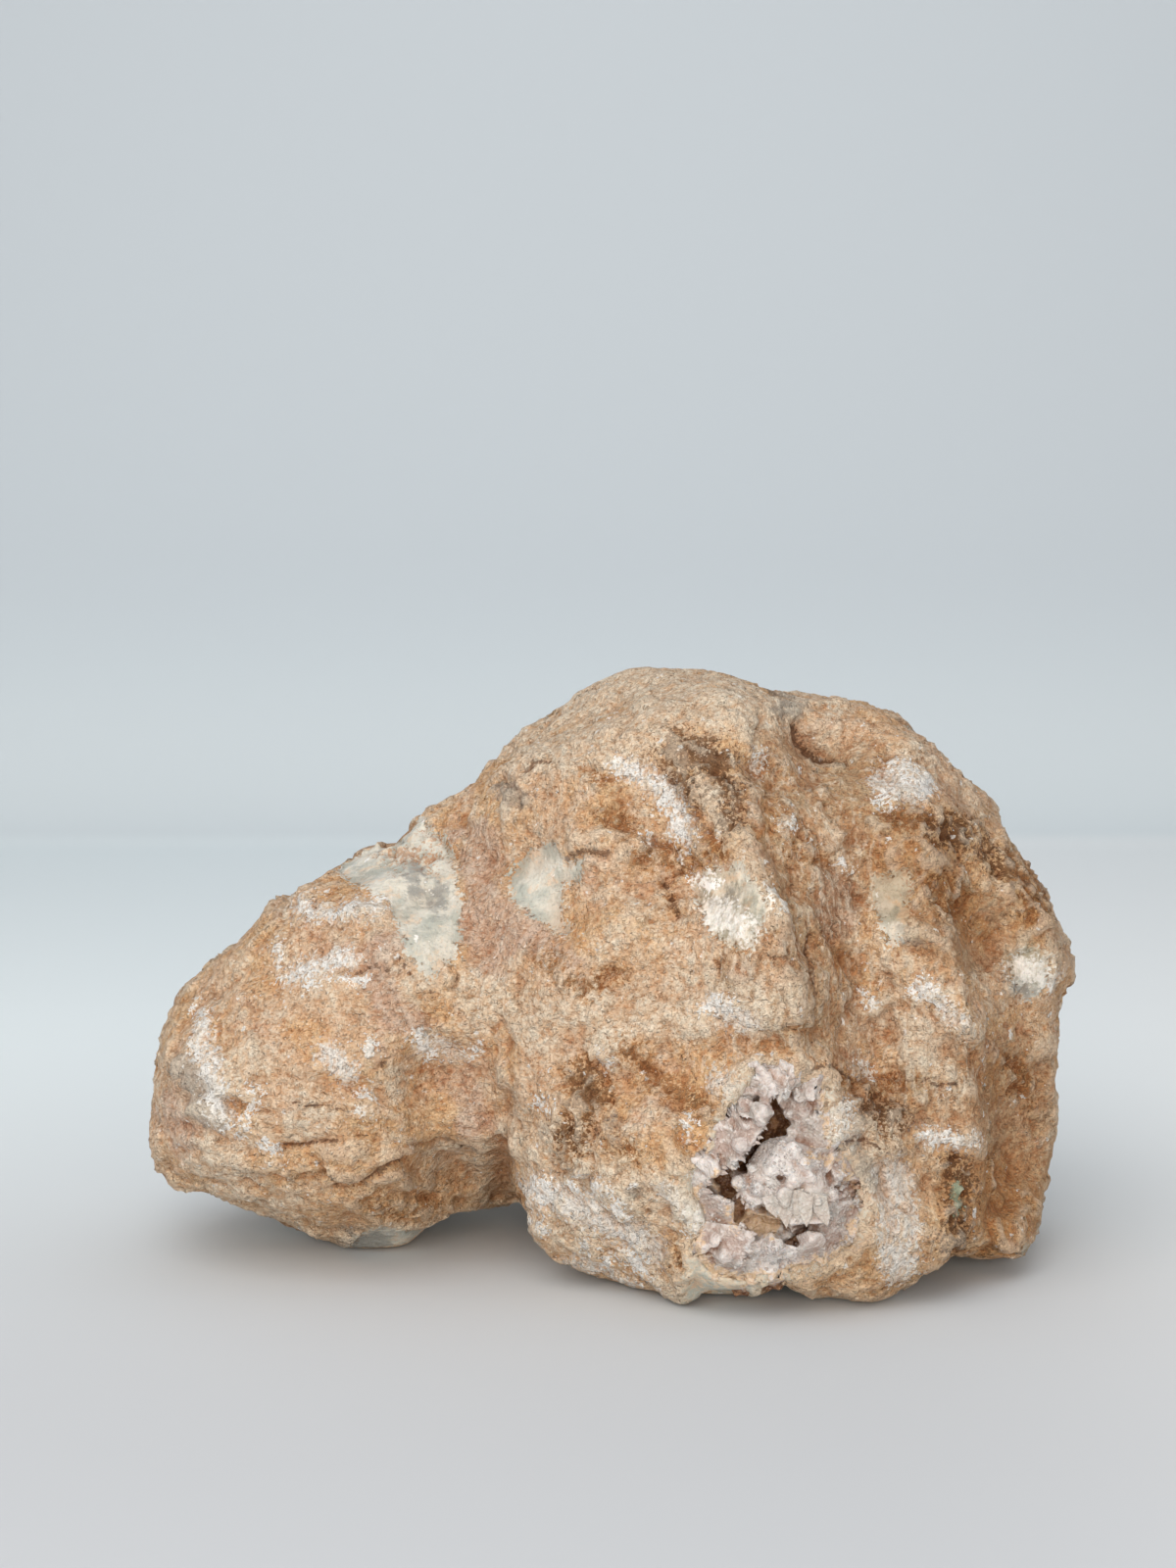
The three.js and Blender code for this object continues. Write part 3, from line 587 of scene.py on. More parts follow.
# What the eye doesn't see from the front is stained and chipped in the same way, by chance.
slow = swells(points, 17, 31, 2)
quick = swells(points, 6, 32, 2)
thread = np.abs(swells(points, 9, 33, 2))
patch = swells(points, 12, 34, 2)
nowhere = np.full(len(points), -float(MARK_REACH))
wild = {
    "chalk": 0.4 - 9 * thread + 2.5 * np.minimum(patch - 0.25, 0),
    "crack": np.full(len(points), -3.0) + 2.9 * (rim_big < 0.05) * (name_big > 0.25),
    "rust": 9 * (quick - 0.42),
    "umber": 9 * (quick - 0.75),
    "ochre": 9 * (slow - 0.15),
    "brown_and_shade": 9 * (-slow - 0.1),
    "mauve": 9 * (-slow - 0.3),
    "pale": 9 * (patch - 0.2),
    "smoke": 9 * (-patch - 0.55),
    "green": nowhere,
    "frost": 9 * (swells(points, 8, 35, 2) - 0.5),
    "bare": np.where(name_big > 0.26, 1, -1) * rim_big * BIG_CELL * 0.45,
    "druse": nowhere,
}
for kind, drawn in marks.items():
    blend = np.clip(drawn, -MARK_REACH, MARK_REACH) * seen + wild[kind] * (1 - seen)
    marks[kind] = np.clip(blend, -MARK_REACH, MARK_REACH)

bare = ramp(marks["bare"], -0.2, 0.5)
clay = 1 - np.maximum(bare, ramp(marks["druse"], -0.8, 0.8))
calm = near_spots(front, SMOOTH, -4, 4) * seen
crumbly = (1 - 0.6 * calm) * (0.2 + 0.8 * clay)
heights = SWELL_DEPTH * swells(points, 10, 4, 2)
heights += (BIG_LEAN * lean_big + MID_LEAN * lean_mid * (1 - 0.4 * calm)) * (0.35 + 0.65 * clay)
heights += LUMP_DEPTH * clay * (1 - calm) * (0.45 - np.abs(swells(bent, 7, 10, 2)) * 2)
heights += (SMALL_LEAN * lean_small + CRUMB_DEPTH * swells(points, 2.3, 5, 3)) * crumbly
heights -= RIFT_DEPTH * clay * (1 - ramp(rim_mid, 0, 0.16)) * ramp(name_mid, -0.1, 0.2)
heights -= CLAY_DEPTH * bare

# Upright flutes on the nose, and low ledges on the left lobe.
fluted = ramp(inside(front, FLUTED), -2, 3) * seen
swept = np.stack([front[:, 0] + 0.4 * front[:, 1] + 1.6 * warp[:, 0], points[:, 1] * 0.3,
                  front[:, 1]], axis=1)
heights += FLUTE_DEPTH * fluted * clay * swells(swept, 1.9, 6, 2, stretch=(1, 1, 4.5))
ledged = ramp(inside(front, LEDGED), -3, 4) * seen
tipped = np.stack([front[:, 0], points[:, 1] * 0.3,
                   front[:, 1] + 0.16 * front[:, 0] + warp[:, 2]], axis=1)
steps = swells(tipped, 2.6, 7, 2, stretch=(6, 3, 1))
heights += LEDGE_DEPTH * ledged * clay * np.sign(steps) * np.sqrt(np.abs(steps))
for depth, half, *line in CREASES:
    heights -= depth * seen * np.exp(-(off_line(front, line) / half) ** 2)

# Rust eats pits and leaves clots, the pocket has a raised lip, and scale lies on top.
rough = ramp(np.maximum(marks["rust"], marks["umber"]), -1.5, 0.5)
heights -= PIT_DEPTH * rough * ramp(swells(points, 1.5, 8, 2), 0.0, 0.35)
heights += CLOT_HEIGHT * rough * ramp(swells(points, 1.9, 9, 2), 0.05, 0.4)
heights += LIP_HEIGHT * ramp(pocket, -5, -0.8) * (1 - ramp(pocket, -0.6, 0.8)) * seen
heights += SCALE_HEIGHT * ramp(marks["chalk"], -0.4, 0.4)
heights -= CRACK_DEPTH * ramp(marks["crack"], -0.3, 0.2)

# Its worn feet stay flat, and its top stays as low as it is.
heights *= ramp(points[:, 2], -0.5, 2.5)
heights -= np.maximum(heights, 0) * 0.6 * ramp(points[:, 2], TOP_LOW, TOP_HIGH)
points = points + normals * heights[:, None]
points[:, 2] = np.maximum(points[:, 2], 0)
for left, right, front_end, back_end, lift in HOLLOW_FEET:
    above = (ramp(points[:, 0], left - HOLLOW_SIDE, left + HOLLOW_SIDE)
             * (1 - ramp(points[:, 0], right - HOLLOW_SIDE, right + HOLLOW_SIDE)))
    above *= (ramp(points[:, 1], front_end - HOLLOW_END, front_end)
              * (1 - ramp(points[:, 1], back_end - HOLLOW_END, back_end)))
    points[:, 2] += lift * above * (1 - ramp(points[:, 2], 0, HOLLOW_TOP))
move_points(skin, points)

for kind, values in marks.items():
    keep_field(skin, kind, values)
keep_field(skin, "hollow", hollowness(skin, points, LEVEL_ROUNDS))
keep_field(skin, "flute", fluted)
keep_field(skin, "dust_and_bounce", ramp(points[:, 2], PALE_FOOT_TOP, PALE_FOOT_LOW))

# Its finish, from the clay to the quartz and what lies on them. Tints darken what is under them.
TAN_CLAY = paint(230, 202, 173)
OCHRE_CLAY = paint(228, 192, 150)
DEEP_OCHRE = paint(226, 184, 136)
ROSY_CLAY = paint(222, 188, 163)
MAUVE_CLAY = paint(214, 188, 171)
PALE_CLAY = paint(239, 225, 204)
CLAY_DUST_AND_BOUNCE = paint(244, 214, 176)
CLOUD_TINT = paint(232, 196, 158)
DASH_TINT = paint(212, 178, 146)
CRUMB_GAP_SHADE = paint(206, 168, 134)
FLUTE_SHADE_TINT = paint(206, 176, 148)
BROWN_AND_SHADE_TINT = paint(222, 208, 190)
HOLLOW_SHADE_TINT = paint(210, 172, 138)
RUST = paint(178, 122, 72)
IRON_ORE = paint(136, 98, 64)
CRACK_DIRT = paint(112, 78, 54)
QUARTZ_WHITE = paint(216, 211, 199)
QUARTZ_GREY = paint(182, 183, 173)
SMOKY_QUARTZ = paint(158, 156, 150)
DRUSE_CREAM = paint(220, 198, 172)
FROST = paint(240, 235, 228)
WHITE_SCALE = paint(248, 245, 241)
GREEN_SPECK = paint(168, 182, 156)
CLAY_ROUGHNESS = 0.93
QUARTZ_ROUGHNESS = 0.48
STONE_SPECULAR = 0.4
QUARTZ_GLOW = 0.35
QUARTZ_GLOW_DEPTH = 1.5
LUMP_RELIEF = 1.5
GRIT_RELIEF = 0.7


def object_place(tree, scale):
    """Where each spot of the skin lies on its piece, scaled, for a texture to start from."""
    where = tree.nodes.new("ShaderNodeTexCoord")
    lay = tree.nodes.new("ShaderNodeMapping")
    lay.inputs["Scale"].default_value = scale
    tree.links.new(where.outputs["Object"], lay.inputs["Vector"])
    return lay


def grain(tree, size, detail, rough, stretch=(1, 1, 1), shift=0.0, tilt=(0, 0, 0)):
    """Cloudy variation in spots about `size` mm across, longer along an axis by its stretch."""
    lay = object_place(tree, [1 / (size * MM * pull) for pull in stretch])
    lay.inputs["Location"].default_value = (shift, 1.7 * shift, 2.3 * shift)
    lay.inputs["Rotation"].default_value = tilt
    cloud = tree.nodes.new("ShaderNodeTexNoise")
    cloud.inputs["Scale"].default_value = 1.0
    cloud.inputs["Detail"].default_value = detail
    cloud.inputs["Roughness"].default_value = rough
    tree.links.new(lay.outputs[0], cloud.inputs["Vector"])
    return cloud.outputs["Fac"]


def crumbs(tree, size, sway):
    """Crumbs about `size` mm across: how far each spot lies from the middle of its crumb."""
    lay = object_place(tree, [1 / (size * MM)] * 3)
    shift = tree.nodes.new("ShaderNodeVectorMath")
    shift.operation = "ADD"
    tree.links.new(lay.outputs[0], shift.inputs[0])
    tree.links.new(times(tree, sway, 2.0), shift.inputs[1])
    cells = tree.nodes.new("ShaderNodeTexVoronoi")
    cells.inputs["Scale"].default_value = 1.0
    tree.links.new(shift.outputs[0], cells.inputs["Vector"])
    return cells.outputs["Distance"]


def field(tree, name):
    """A number that the skin keeps for each of its points."""
    kept = tree.nodes.new("ShaderNodeAttribute")
    kept.attribute_name = name
    return kept.outputs["Fac"]


def stain(tree, name, fray, fringe, low, high, most=1.0):
    """Where a mark on the skin shows, with an edge that wanders by `fray` mm."""
    wander = sums(tree, "MULTIPLY_ADD", fringe, 5 * fray, -2.5 * fray)
    return edge(tree, sums(tree, "ADD", field(tree, name), wander), low, high, 0, most)


def tinted(tree, mask, colour, tint):
    """The colour darkened by a tint, as far as the mask lets it."""
    return over(tree, mask, colour, over(tree, 1.0, colour, tint, "MULTIPLY"))


def raised(tree, height, depth, strength, under=None):
    """Relief too fine for the mesh, `depth` mm from its lowest to its highest."""
    relief = tree.nodes.new("ShaderNodeBump")
    relief.inputs["Distance"].default_value = depth * MM
    relief.inputs["Strength"].default_value = strength
    feed(tree, height, relief.inputs["Height"])
    if under is not None:
        tree.links.new(under, relief.inputs["Normal"])
    return relief.outputs["Normal"]


clay_finish, tree, shader = new_finish("stained_quartz_rock")
cloud_wide = grain(tree, 16, 3, 0.55)
cloud_mid = grain(tree, 5, 4, 0.6, shift=3.0)
cloud_fine = grain(tree, 1.5, 4, 0.65, shift=7.0)
cloud_dust = grain(tree, 0.5, 3, 0.6, shift=11.0)
dashes = grain(tree, 0.45, 3, 0.6, stretch=(2.6, 1, 1), shift=5.0, tilt=(0, 0.7, 0))
lace = sums(tree, "MULTIPLY_ADD", cloud_dust, 0.6, times(tree, cloud_fine, 0.4))
crumb = crumbs(tree, 0.9, cloud_dust)

# The clay, in patches from wide to fine.
blotches = grain(tree, 7, 5, 0.65, shift=17.0)
colour = over(tree, edge(tree, cloud_wide, 0.40, 0.60), TAN_CLAY, OCHRE_CLAY)
colour = over(tree, edge(tree, cloud_mid, 0.50, 0.66, 0, 0.75), colour, ROSY_CLAY)
colour = over(tree, edge(tree, blotches, 0.48, 0.64, 0, 0.85), colour, PALE_CLAY)
# Paler towards its foot: partly pale clay dust, partly painted light bounced up from the table.
colour = over(tree, times(tree, field(tree, "dust_and_bounce"), 0.55), colour, CLAY_DUST_AND_BOUNCE)
for kind, fray, low, high, most, clay_colour in (
        ("mauve", 1.6, -1.0, 1.5, 0.75, MAUVE_CLAY), ("pale", 2.6, -2.2, 1.6, 0.85, PALE_CLAY),
        ("ochre", 2.4, -1.8, 1.8, 0.75, DEEP_OCHRE)):
    colour = over(tree, stain(tree, kind, fray, cloud_mid, low, high, most), colour, clay_colour)
colour = tinted(tree, edge(tree, cloud_fine, 0.36, 0.66, 0, 0.5), colour, CLOUD_TINT)
colour = over(tree, edge(tree, cloud_dust, 0.54, 0.68, 0, 0.6), colour, PALE_CLAY)
colour = tinted(tree, edge(tree, dashes, 0.47, 0.34, 0, 0.6), colour, DASH_TINT)
# Painted shade in the gaps between crumbs.
colour = tinted(tree, edge(tree, crumb, 0.42, 0.8, 0, 0.4), colour, CRUMB_GAP_SHADE)

# The iron in it: freckles, a faint wash, granular rust and dark ore.
freckle = times(tree, edge(tree, grain(tree, 0.9, 3, 0.65, shift=23.0), 0.57, 0.66),
               edge(tree, field(tree, "rust"), -MARK_REACH, 0.5, 0.25, 1.0))
colour = over(tree, times(tree, freckle, 0.6), colour, RUST)
wash = stain(tree, "rust", 2.0, cloud_fine, -1.6, 2.0, 0.45)
colour = over(tree, wash, colour, DEEP_OCHRE)
rust = stain(tree, "rust", 4.4, lace, 0.4, 1.4, 0.8)
colour = over(tree, rust, colour, over(tree, edge(tree, cloud_dust, 0.42, 0.58), IRON_ORE, RUST))
umber = stain(tree, "umber", 5.0, lace, -0.3, 0.7, 0.9)
colour = over(tree, umber, colour, over(tree, edge(tree, lace, 0.40, 0.60), CRACK_DIRT, IRON_ORE))

# The bare quartz, white and grey with smoky spots.
window = stain(tree, "bare", 1.5, lace, -0.1, 0.5)
smear = grain(tree, 2.6, 4, 0.65, shift=29.0)
quartz = over(tree, edge(tree, cloud_mid, 0.42, 0.60), QUARTZ_WHITE, QUARTZ_GREY)
quartz = over(tree, edge(tree, smear, 0.52, 0.66, 0, 0.65), quartz, TAN_CLAY)
quartz = over(tree, edge(tree, dashes, 0.42, 0.32, 0, 0.5), quartz, SMOKY_QUARTZ)
smoke = stain(tree, "smoke", 1.6, cloud_fine, -1.0, 1.2, 0.85)
quartz = over(tree, smoke, quartz, SMOKY_QUARTZ)
quartz = over(tree, times(tree, rust, 0.8), quartz, RUST)
colour = over(tree, window, colour, quartz)
colour = over(tree, times(tree, smoke, 0.7), colour, SMOKY_QUARTZ)

# Brown clay with painted shade on the faces turned from the lamp, the flutes' streaks of painted
# light and shade, thin frosty quartz and the finer quartz round the pocket.
brown_and_shade = stain(tree, "brown_and_shade", 3.0, cloud_mid, -3.0, 4.0)
colour = tinted(tree, brown_and_shade, colour, BROWN_AND_SHADE_TINT)
streaks = grain(tree, 0.9, 4, 0.6, stretch=(1, 1, 4), shift=41.0)
flutes = edge(tree, field(tree, "flute"), 0.1, 0.8)
# Painted light and painted shade in upright streaks along the flutes.
light = times(tree, flutes, edge(tree, streaks, 0.50, 0.62, 0, 0.45))
colour = over(tree, light, colour, PALE_CLAY)
shade = times(tree, flutes, edge(tree, streaks, 0.46, 0.36, 0, 0.3))
colour = tinted(tree, shade, colour, FLUTE_SHADE_TINT)
brushed = edge(tree, grain(tree, 0.8, 4, 0.65, stretch=(1, 1, 2.6), shift=47.0, tilt=(0, 0.5, 0)),
               0.36, 0.6, 0.35, 1)
frost = times(tree, stain(tree, "frost", 2.4, lace, -0.6, 1.4, 0.95), brushed)
colour = over(tree, frost, colour, FROST)
druse = stain(tree, "druse", 1.8, lace, -2.2, 0.6)
cream = over(tree, edge(tree, cloud_fine, 0.42, 0.60), DRUSE_CREAM, QUARTZ_GREY)
colour = over(tree, druse, colour, cream)

# White scale, the green speck, dirt in cracks, painted shade in the hollows and painted highlight
# on the high spots.
scale = times(tree, stain(tree, "chalk", 2.4, lace, 0.0, 0.3, 0.95),
             edge(tree, grain(tree, 2.2, 3, 0.6, shift=53.0), 0.40, 0.50, 0.1, 1))
speck = edge(tree, grain(tree, 1.7, 3, 0.6, shift=37.0), 0.66, 0.71, 0, 0.8)
colour = over(tree, sums(tree, "MAXIMUM", scale, speck), colour, WHITE_SCALE)
green = stain(tree, "green", 1.0, lace, -0.2, 0.3, 0.8)
colour = over(tree, green, colour, GREEN_SPECK)
crack = stain(tree, "crack", 0.3, cloud_dust, -0.05, 0.2, 0.75)
colour = over(tree, crack, colour, CRACK_DIRT)
# Painted shade in the hollows, and painted highlight on the raised spots.
colour = tinted(tree, edge(tree, field(tree, "hollow"), -0.05, 0.7, 0, 0.6), colour, HOLLOW_SHADE_TINT)
colour = over(tree, edge(tree, field(tree, "hollow"), -0.1, -0.6, 0, 0.35), colour, PALE_CLAY)
tree.links.new(colour, shader.inputs["Base Color"])

glassy = sums(tree, "MAXIMUM", window, druse)
tree.links.new(edge(tree, glassy, 0, 1, CLAY_ROUGHNESS, QUARTZ_ROUGHNESS),
               shader.inputs["Roughness"])
tree.links.new(edge(tree, glassy, 0, 1, 0, QUARTZ_GLOW), shader.inputs["Subsurface Weight"])
shader.inputs["Specular IOR Level"].default_value = STONE_SPECULAR
shader.inputs["Subsurface Radius"].default_value = (1.0, 0.8, 0.65)
shader.inputs["Subsurface Scale"].default_value = QUARTZ_GLOW_DEPTH * MM
gritty = sums(tree, "ADD", times(tree, cloud_dust, 0.9), times(tree, crumb, -0.7))
gritty = sums(tree, "MULTIPLY_ADD", dashes, 0.5, gritty)
matt = edge(tree, glassy, 0, 1, 1, 0.35)
lumps = times(tree, sums(tree, "SUBTRACT", cloud_fine, 0.5), matt)
grit = times(tree, sums(tree, "SUBTRACT", gritty, 0.4), matt)
relief = raised(tree, grit, GRIT_RELIEF, 0.9, raised(tree, lumps, LUMP_RELIEF, 0.8))
tree.links.new(relief, shader.inputs["Normal"])
skin.materials.append(clay_finish)
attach(boulder, "root")
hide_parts("stone")

# The pocket: milky quartz that grew into an open vug low on the front, as one crust of leaning
# plates, sugary lumps and small points. It is fused to the stone at its root, and the hollows
# between its plates are brown, darker the deeper they go: partly clay stain, partly painted shade.
CRUST_STEP = 0.3
SLOT_FRONT = -39.0
SLOT_BACK = -35.5
SLOT_FILL = 0.45
BED_FILL = 0.85
RIM_NEAR = 0.5
RIM_REACH = 3.0
RIM_STEP = 0.2
ROOT_SPREAD = 1.3
FACE_CELL = 1.8
SUGAR_CELL = 0.9
SLOT_CRUMBLE = 0.7
CRUST_ROUNDS = 30
POINTS = 900
POINT_SEED = 5
POINT_SUNK = 0.2
POINT_SWAY = 0.35
TOOTH_STEP = 0.5
TOOTH_STRAY = 0.2
TOOTH_TIP = 1.8
CRYSTAL_CREAM = paint(188, 172, 163)
CRYSTAL_GREY = paint(182, 173, 166)
CRYSTAL_ROSE = paint(184, 162, 152)
CRYSTAL_WHITE = paint(236, 230, 227)
BLADE_CREAM = paint(184, 178, 165)
CRYSTAL_STAIN = paint(216, 184, 148)
SLOT_STAIN_AND_SHADE = paint(116, 78, 54)
SLOT_CRUMB = paint(164, 122, 88)
CREVICE_SHADE_TINT = paint(206, 170, 146)
CRYSTAL_ROUGHNESS = 0.24
NODULE_ROUGHNESS = 0.06
CRYSTAL_IOR = 1.54
CRYSTAL_GLOW = 0.5
CRYSTAL_GLOW_DEPTH = 0.9
CRYSTAL_RELIEF = 0.4
SUGAR_RELIEF = 0.3

# Where the crust is sugary with small points, as outlines on the upright plane.
SUGARY = (
    ((22.5, 15.2), (25.3, 16.4), (28.1, 14.8), (31.4, 13.6), (31, 11.6), (27, 10.2), (20.6, 10.3),
     (20.4, 12.2)),
    ((17.9, 9.2), (20.4, 10.6), (24.3, 10), (25.6, 8.7), (24.4, 6.4), (21, 5.3), (19.3, 6.8)),
    ((30.6, 12.4), (33.8, 13.6), (36.6, 8.6), (37.6, 5), (36.6, 0.6), (31.8, -2.4), (32.6, 4)),
    ((20.2, -0.8), (23.2, 0.2), (27, -0.6), (32.2, -2.6), (26, -4.6), (20, -5.8), (18.2, -4.4)),
    ((13, 7.6), (16, 7.2), (18.4, 6), (18.2, 3), (13.8, 2.6)),
)
# Where clay has settled on it: the half width and line of each run of crumbs.
CLAYED = (
    (1, (12.4, 7.5), (12.8, 2), (12.4, -1.5), (15, -5), (20, -6.2), (26, -5), (32.4, -2.8)),
    (0.4, (31.8, 24), (32, 18), (33.4, 14), (36.6, 8.8), (37.6, 5), (36.4, 0.8), (33, -2.4)),
    (1.9, (19.4, 4), (21.4, 3.2), (24, 2.8)), (0.9, (15.6, 10), (17.6, 7.6)),
    (0.5, (30, 13.2), (33, 12.4)),
)
# The clay bed of its lower hollow.
BED = ((18.4, 2.8), (20.6, 5.4), (24.6, 4.6), (27.6, 2.4), (25.6, 0.6), (21, -0.2))
# Where it is whitest, and its one glassy nodule: spots with their half width.
WHITE = ((25.4, 13.2, 3.4), (13.6, 10.8, 2.2), (22, 7.8, 2.4), (24.5, -2.6, 3.6), (24, 25, 1.6),
         (29, 9.4, 2.4))
NODULE = ((30.2, 0.1, 2.3),)

# The toothed edges of its plates: places on that plane with their depth, and the teeth's way.
TOOTHED = (
    (((22.4, 20.8, -42.8), (23.2, 18.6, -43), (22.1, 16.4, -43), (20.6, 14.2, -43),
      (18.5, 12.2, -42.5), (16.2, 10.9, -41.8)), (0.9, -0.2, -0.5)),
    (((27.4, 23.2, -41.6), (24.8, 22.4, -42.5), (22.8, 22.6, -42.5)), (0.1, -0.3, -1)),
    (((18.6, 2.6, -42.5), (21.1, 1, -43.5), (20.6, -0.6, -43.5), (19, -4, -42.5)), (1, -0.3, 0)),
    (((19, 7.2, -41.6), (21, 5.4, -42.5), (24.2, 6.2, -43)), (-0.1, -0.4, -1)),
    (((14.8, 11.8, -42), (14.4, 9, -41.8), (13.2, 7.2, -41)), (0.9, -0.5, -0.2)),
)

# Five thin blades that stand out over the lower hollow, with their tips down.
BLADES = (
    ((22.6, 6.8), (23.4, 4.9), (24.9, 3.6), (25.3, 5.2), (25.2, 7.4)),
    ((24.2, 6.9), (24.9, 4.6), (26.4, 2), (27.2, 4.2), (27.3, 7.9)),
    ((26.4, 7.6), (27.2, 4.4), (28.2, 3.2), (28.6, 4.4), (28.9, 8.2)),
    ((28, 8), (28.4, 4.2), (29.4, 2.2), (30.2, 4), (30.4, 7)),
    ((29.8, 7.6), (30.6, 4.4), (32.6, 2.3), (33, 3.8), (32.4, 7)),
)
BLADE_FACES = (-44.7, -45.2, -44.8, -45.3, -44.9)
BLADE_THICK = 1.2
BLADE_LEAN = 0.22


def off_front(across, up, back):
    """The place of a spot on the upright plane when it lies `back` mm deep."""
    pull = FRONT_PLANE / (back - EYE.y)
    return Vector((EYE.x + (across - EYE.x) / pull, back, EYE.z + (up - EYE.z) / pull))


def add_point(bunch, foot, way, width, length, turn, sharp=0.9):
    """A six-sided column of quartz that ends in a point, rooted at its foot."""
    column = bmesh.ops.create_cone(bunch, cap_ends=True, segments=6, radius1=0.8 * width,
                                   radius2=width, depth=length)["verts"]
    lids = {face for corner in column for face in corner.link_faces if len(face.verts) == 6}
    lid = max(lids, key=lambda face: face.calc_center_median().z)
    tip = bmesh.ops.poke(bunch, faces=[lid])["verts"][0]
    tip.co.z += sharp * width
    whole = [*column, tip]
    bmesh.ops.rotate(bunch, verts=whole, cent=(0, 0, 0), matrix=Matrix.Rotation(turn, 3, "Z"))
    bmesh.ops.rotate(bunch, verts=whole, cent=(0, 0, 0),
                     matrix=way.to_track_quat("Z", "Y").to_matrix())
    bmesh.ops.translate(bunch, verts=whole, vec=foot)


def add_blade(bunch, outline, face):
    """A flat crystal with straight sides that leans out, with its front at `face` at its tip."""
    tip = min(up for _, up in outline)
    places = [off_front(across, up, depth + BLADE_LEAN * (up - tip))
              for across, up in outline for depth in (face, face + BLADE_THICK)]
    corners = [bmesh.ops.create_vert(bunch, co=place)["vert"][0] for place in places]
    hull = bmesh.ops.convex_hull(bunch, input=corners)
    spare = [part for part in hull["geom_interior"] if isinstance(part, bmesh.types.BMVert)]
    bmesh.ops.delete(bunch, geom=spare, context="VERTS")


pocket_crystals = merged_copy(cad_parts["crystal_crust"], "pocket_crystals")
even_skin(pocket_crystals, CRUST_STEP)
druse_skin = pocket_crystals.data
points = points_of(druse_skin)
bed = ramp(inside(on_front(points), BED), -0.8, 0.8)
fill = SLOT_FILL + (BED_FILL - SLOT_FILL) * bed
points[:, 1] -= fill * np.maximum(points[:, 1] - SLOT_FRONT, 0)

# At its rim the crust lies level with the stone, and behind it widens to meet the stone.
walls = BVHTree.FromObject(boulder, bpy.context.evaluated_depsgraph_get())
beside = np.array([walls.find_nearest(spot)[0] for spot in (points * MM).tolist()]) / MM - points
gaps = np.linalg.norm(beside[:, ::2], axis=1)
at_rim = 1 - ramp(gaps, RIM_NEAR, RIM_REACH)
points[:, 1] += at_rim * np.maximum(beside[:, 1] + RIM_STEP, 0)
move_points(druse_skin, points)
normals = normals_of(druse_skin)
spokes = (points - points.mean(axis=0))[:, ::2]
spokes /= np.linalg.norm(spokes, axis=1)[:, None]
outward = ramp((normals[:, ::2] * spokes).sum(axis=1), 0.2, 0.7) * (1 - ramp(gaps, 0.4, 1.6))
points[:, ::2] += ROOT_SPREAD * outward[:, None] * spokes
front = on_front(points)

sugary = ramp(in_any(front, SUGARY), -0.6, 0.6)
nodule = near_spots(front, NODULE, -0.3, 0.4)
slots = ramp(points[:, 1], SLOT_FRONT, SLOT_BACK)
ribbed = np.stack([0.5 * front[:, 0] + 0.87 * front[:, 1], 0.3 * points[:, 1],
                   0.87 * front[:, 0] - 0.5 * front[:, 1]], axis=1)
heights = ((0.1 + 0.2 * sugary) * flakes(points, FACE_CELL, 41)[0]
           + (0.05 + 0.12 * sugary) * flakes(points, SUGAR_CELL, 42)[0])
heights += 0.12 * (1 - sugary) * swells(ribbed, 0.8, 43, 2, stretch=(1, 1, 5))
heights += SLOT_CRUMBLE * np.maximum(bed, slots) * swells(points, 1.3, 44, 2)
heights *= 1 - 0.8 * nodule
points = points + normals * heights[:, None]
move_points(druse_skin, points)

deep = ramp(points[:, 1] + 0.8 * swells(points, 2, 45, 2), SLOT_FRONT, SLOT_BACK) * (1 - 0.7 * bed)
for name, values in (
        ("deep", deep), ("white", near_spots(front, WHITE, -1.5, 1)), ("nodule", nodule),
        ("blade", ramp(in_any(front, BLADES), -1, 0.5)),
        ("hollow", hollowness(druse_skin, points, CRUST_ROUNDS)),
        ("clayed", np.clip(on_lines(front, CLAYED), -MARK_REACH, MARK_REACH))):
    keep_field(druse_skin, name, values)

# Small points on the lumps and teeth on the plates' edges, each rooted in the crust.
chance = random.Random(POINT_SEED)
normals = normals_of(druse_skin)
open_to = np.flatnonzero((sugary > 0.5) & (facing_eye(points, normals) > 0.15) & (deep < 0.6))
grown = bmesh.new()
for _ in range(POINTS):
    place = chance.choice(open_to.tolist())
    way = Vector(normals[place]) + Vector([chance.gauss(0, POINT_SWAY) for _ in range(3)])
    width = 0.1 + 0.24 * chance.random() ** 2
    add_point(grown, Vector(points[place]) - POINT_SUNK * way, way.normalized(), width,
              width * chance.uniform(1.0, 1.9), chance.uniform(0, math.pi))
for line, lean in TOOTHED:
    spots = [off_front(*corner) for corner in line]
    for start, end in zip(spots[:-1], spots[1:]):
        count = max(1, round((end - start).length / TOOTH_STEP))
        for number in range(count):
            foot = start.lerp(end, (number + chance.uniform(0.1, 0.9)) / count)
            foot += Vector([chance.gauss(0, TOOTH_STRAY) for _ in range(3)])
            way = Vector(lean) + Vector([chance.gauss(0, POINT_SWAY) for _ in range(3)])
            width = 0.14 + 0.28 * chance.random() ** 1.5
            add_point(grown, foot, way.normalized(), width, width * chance.uniform(1.5, 2.6),
                      chance.uniform(0, math.pi), TOOTH_TIP)
before_blades = len(grown.verts)
for outline, face in zip(BLADES, BLADE_FACES):
    add_blade(grown, outline, face)
bmesh.ops.recalc_face_normals(grown, faces=grown.faces)
bmesh.ops.scale(grown, vec=(MM, MM, MM), verts=grown.verts)
points_mesh = bpy.data.meshes.new("pocket_points")
grown.to_mesh(points_mesh)
grown.free()
count = len(points_mesh.vertices)
keep_field(points_mesh, "blade", np.arange(count) >= before_blades)
keep_field(points_mesh, "clayed", np.full(count, -float(MARK_REACH)))
keep_field(points_mesh, "white", np.full(count, 0.4))
pocket_points = bpy.data.objects.new("pocket_points", points_mesh)
bpy.context.collection.objects.link(pocket_points)

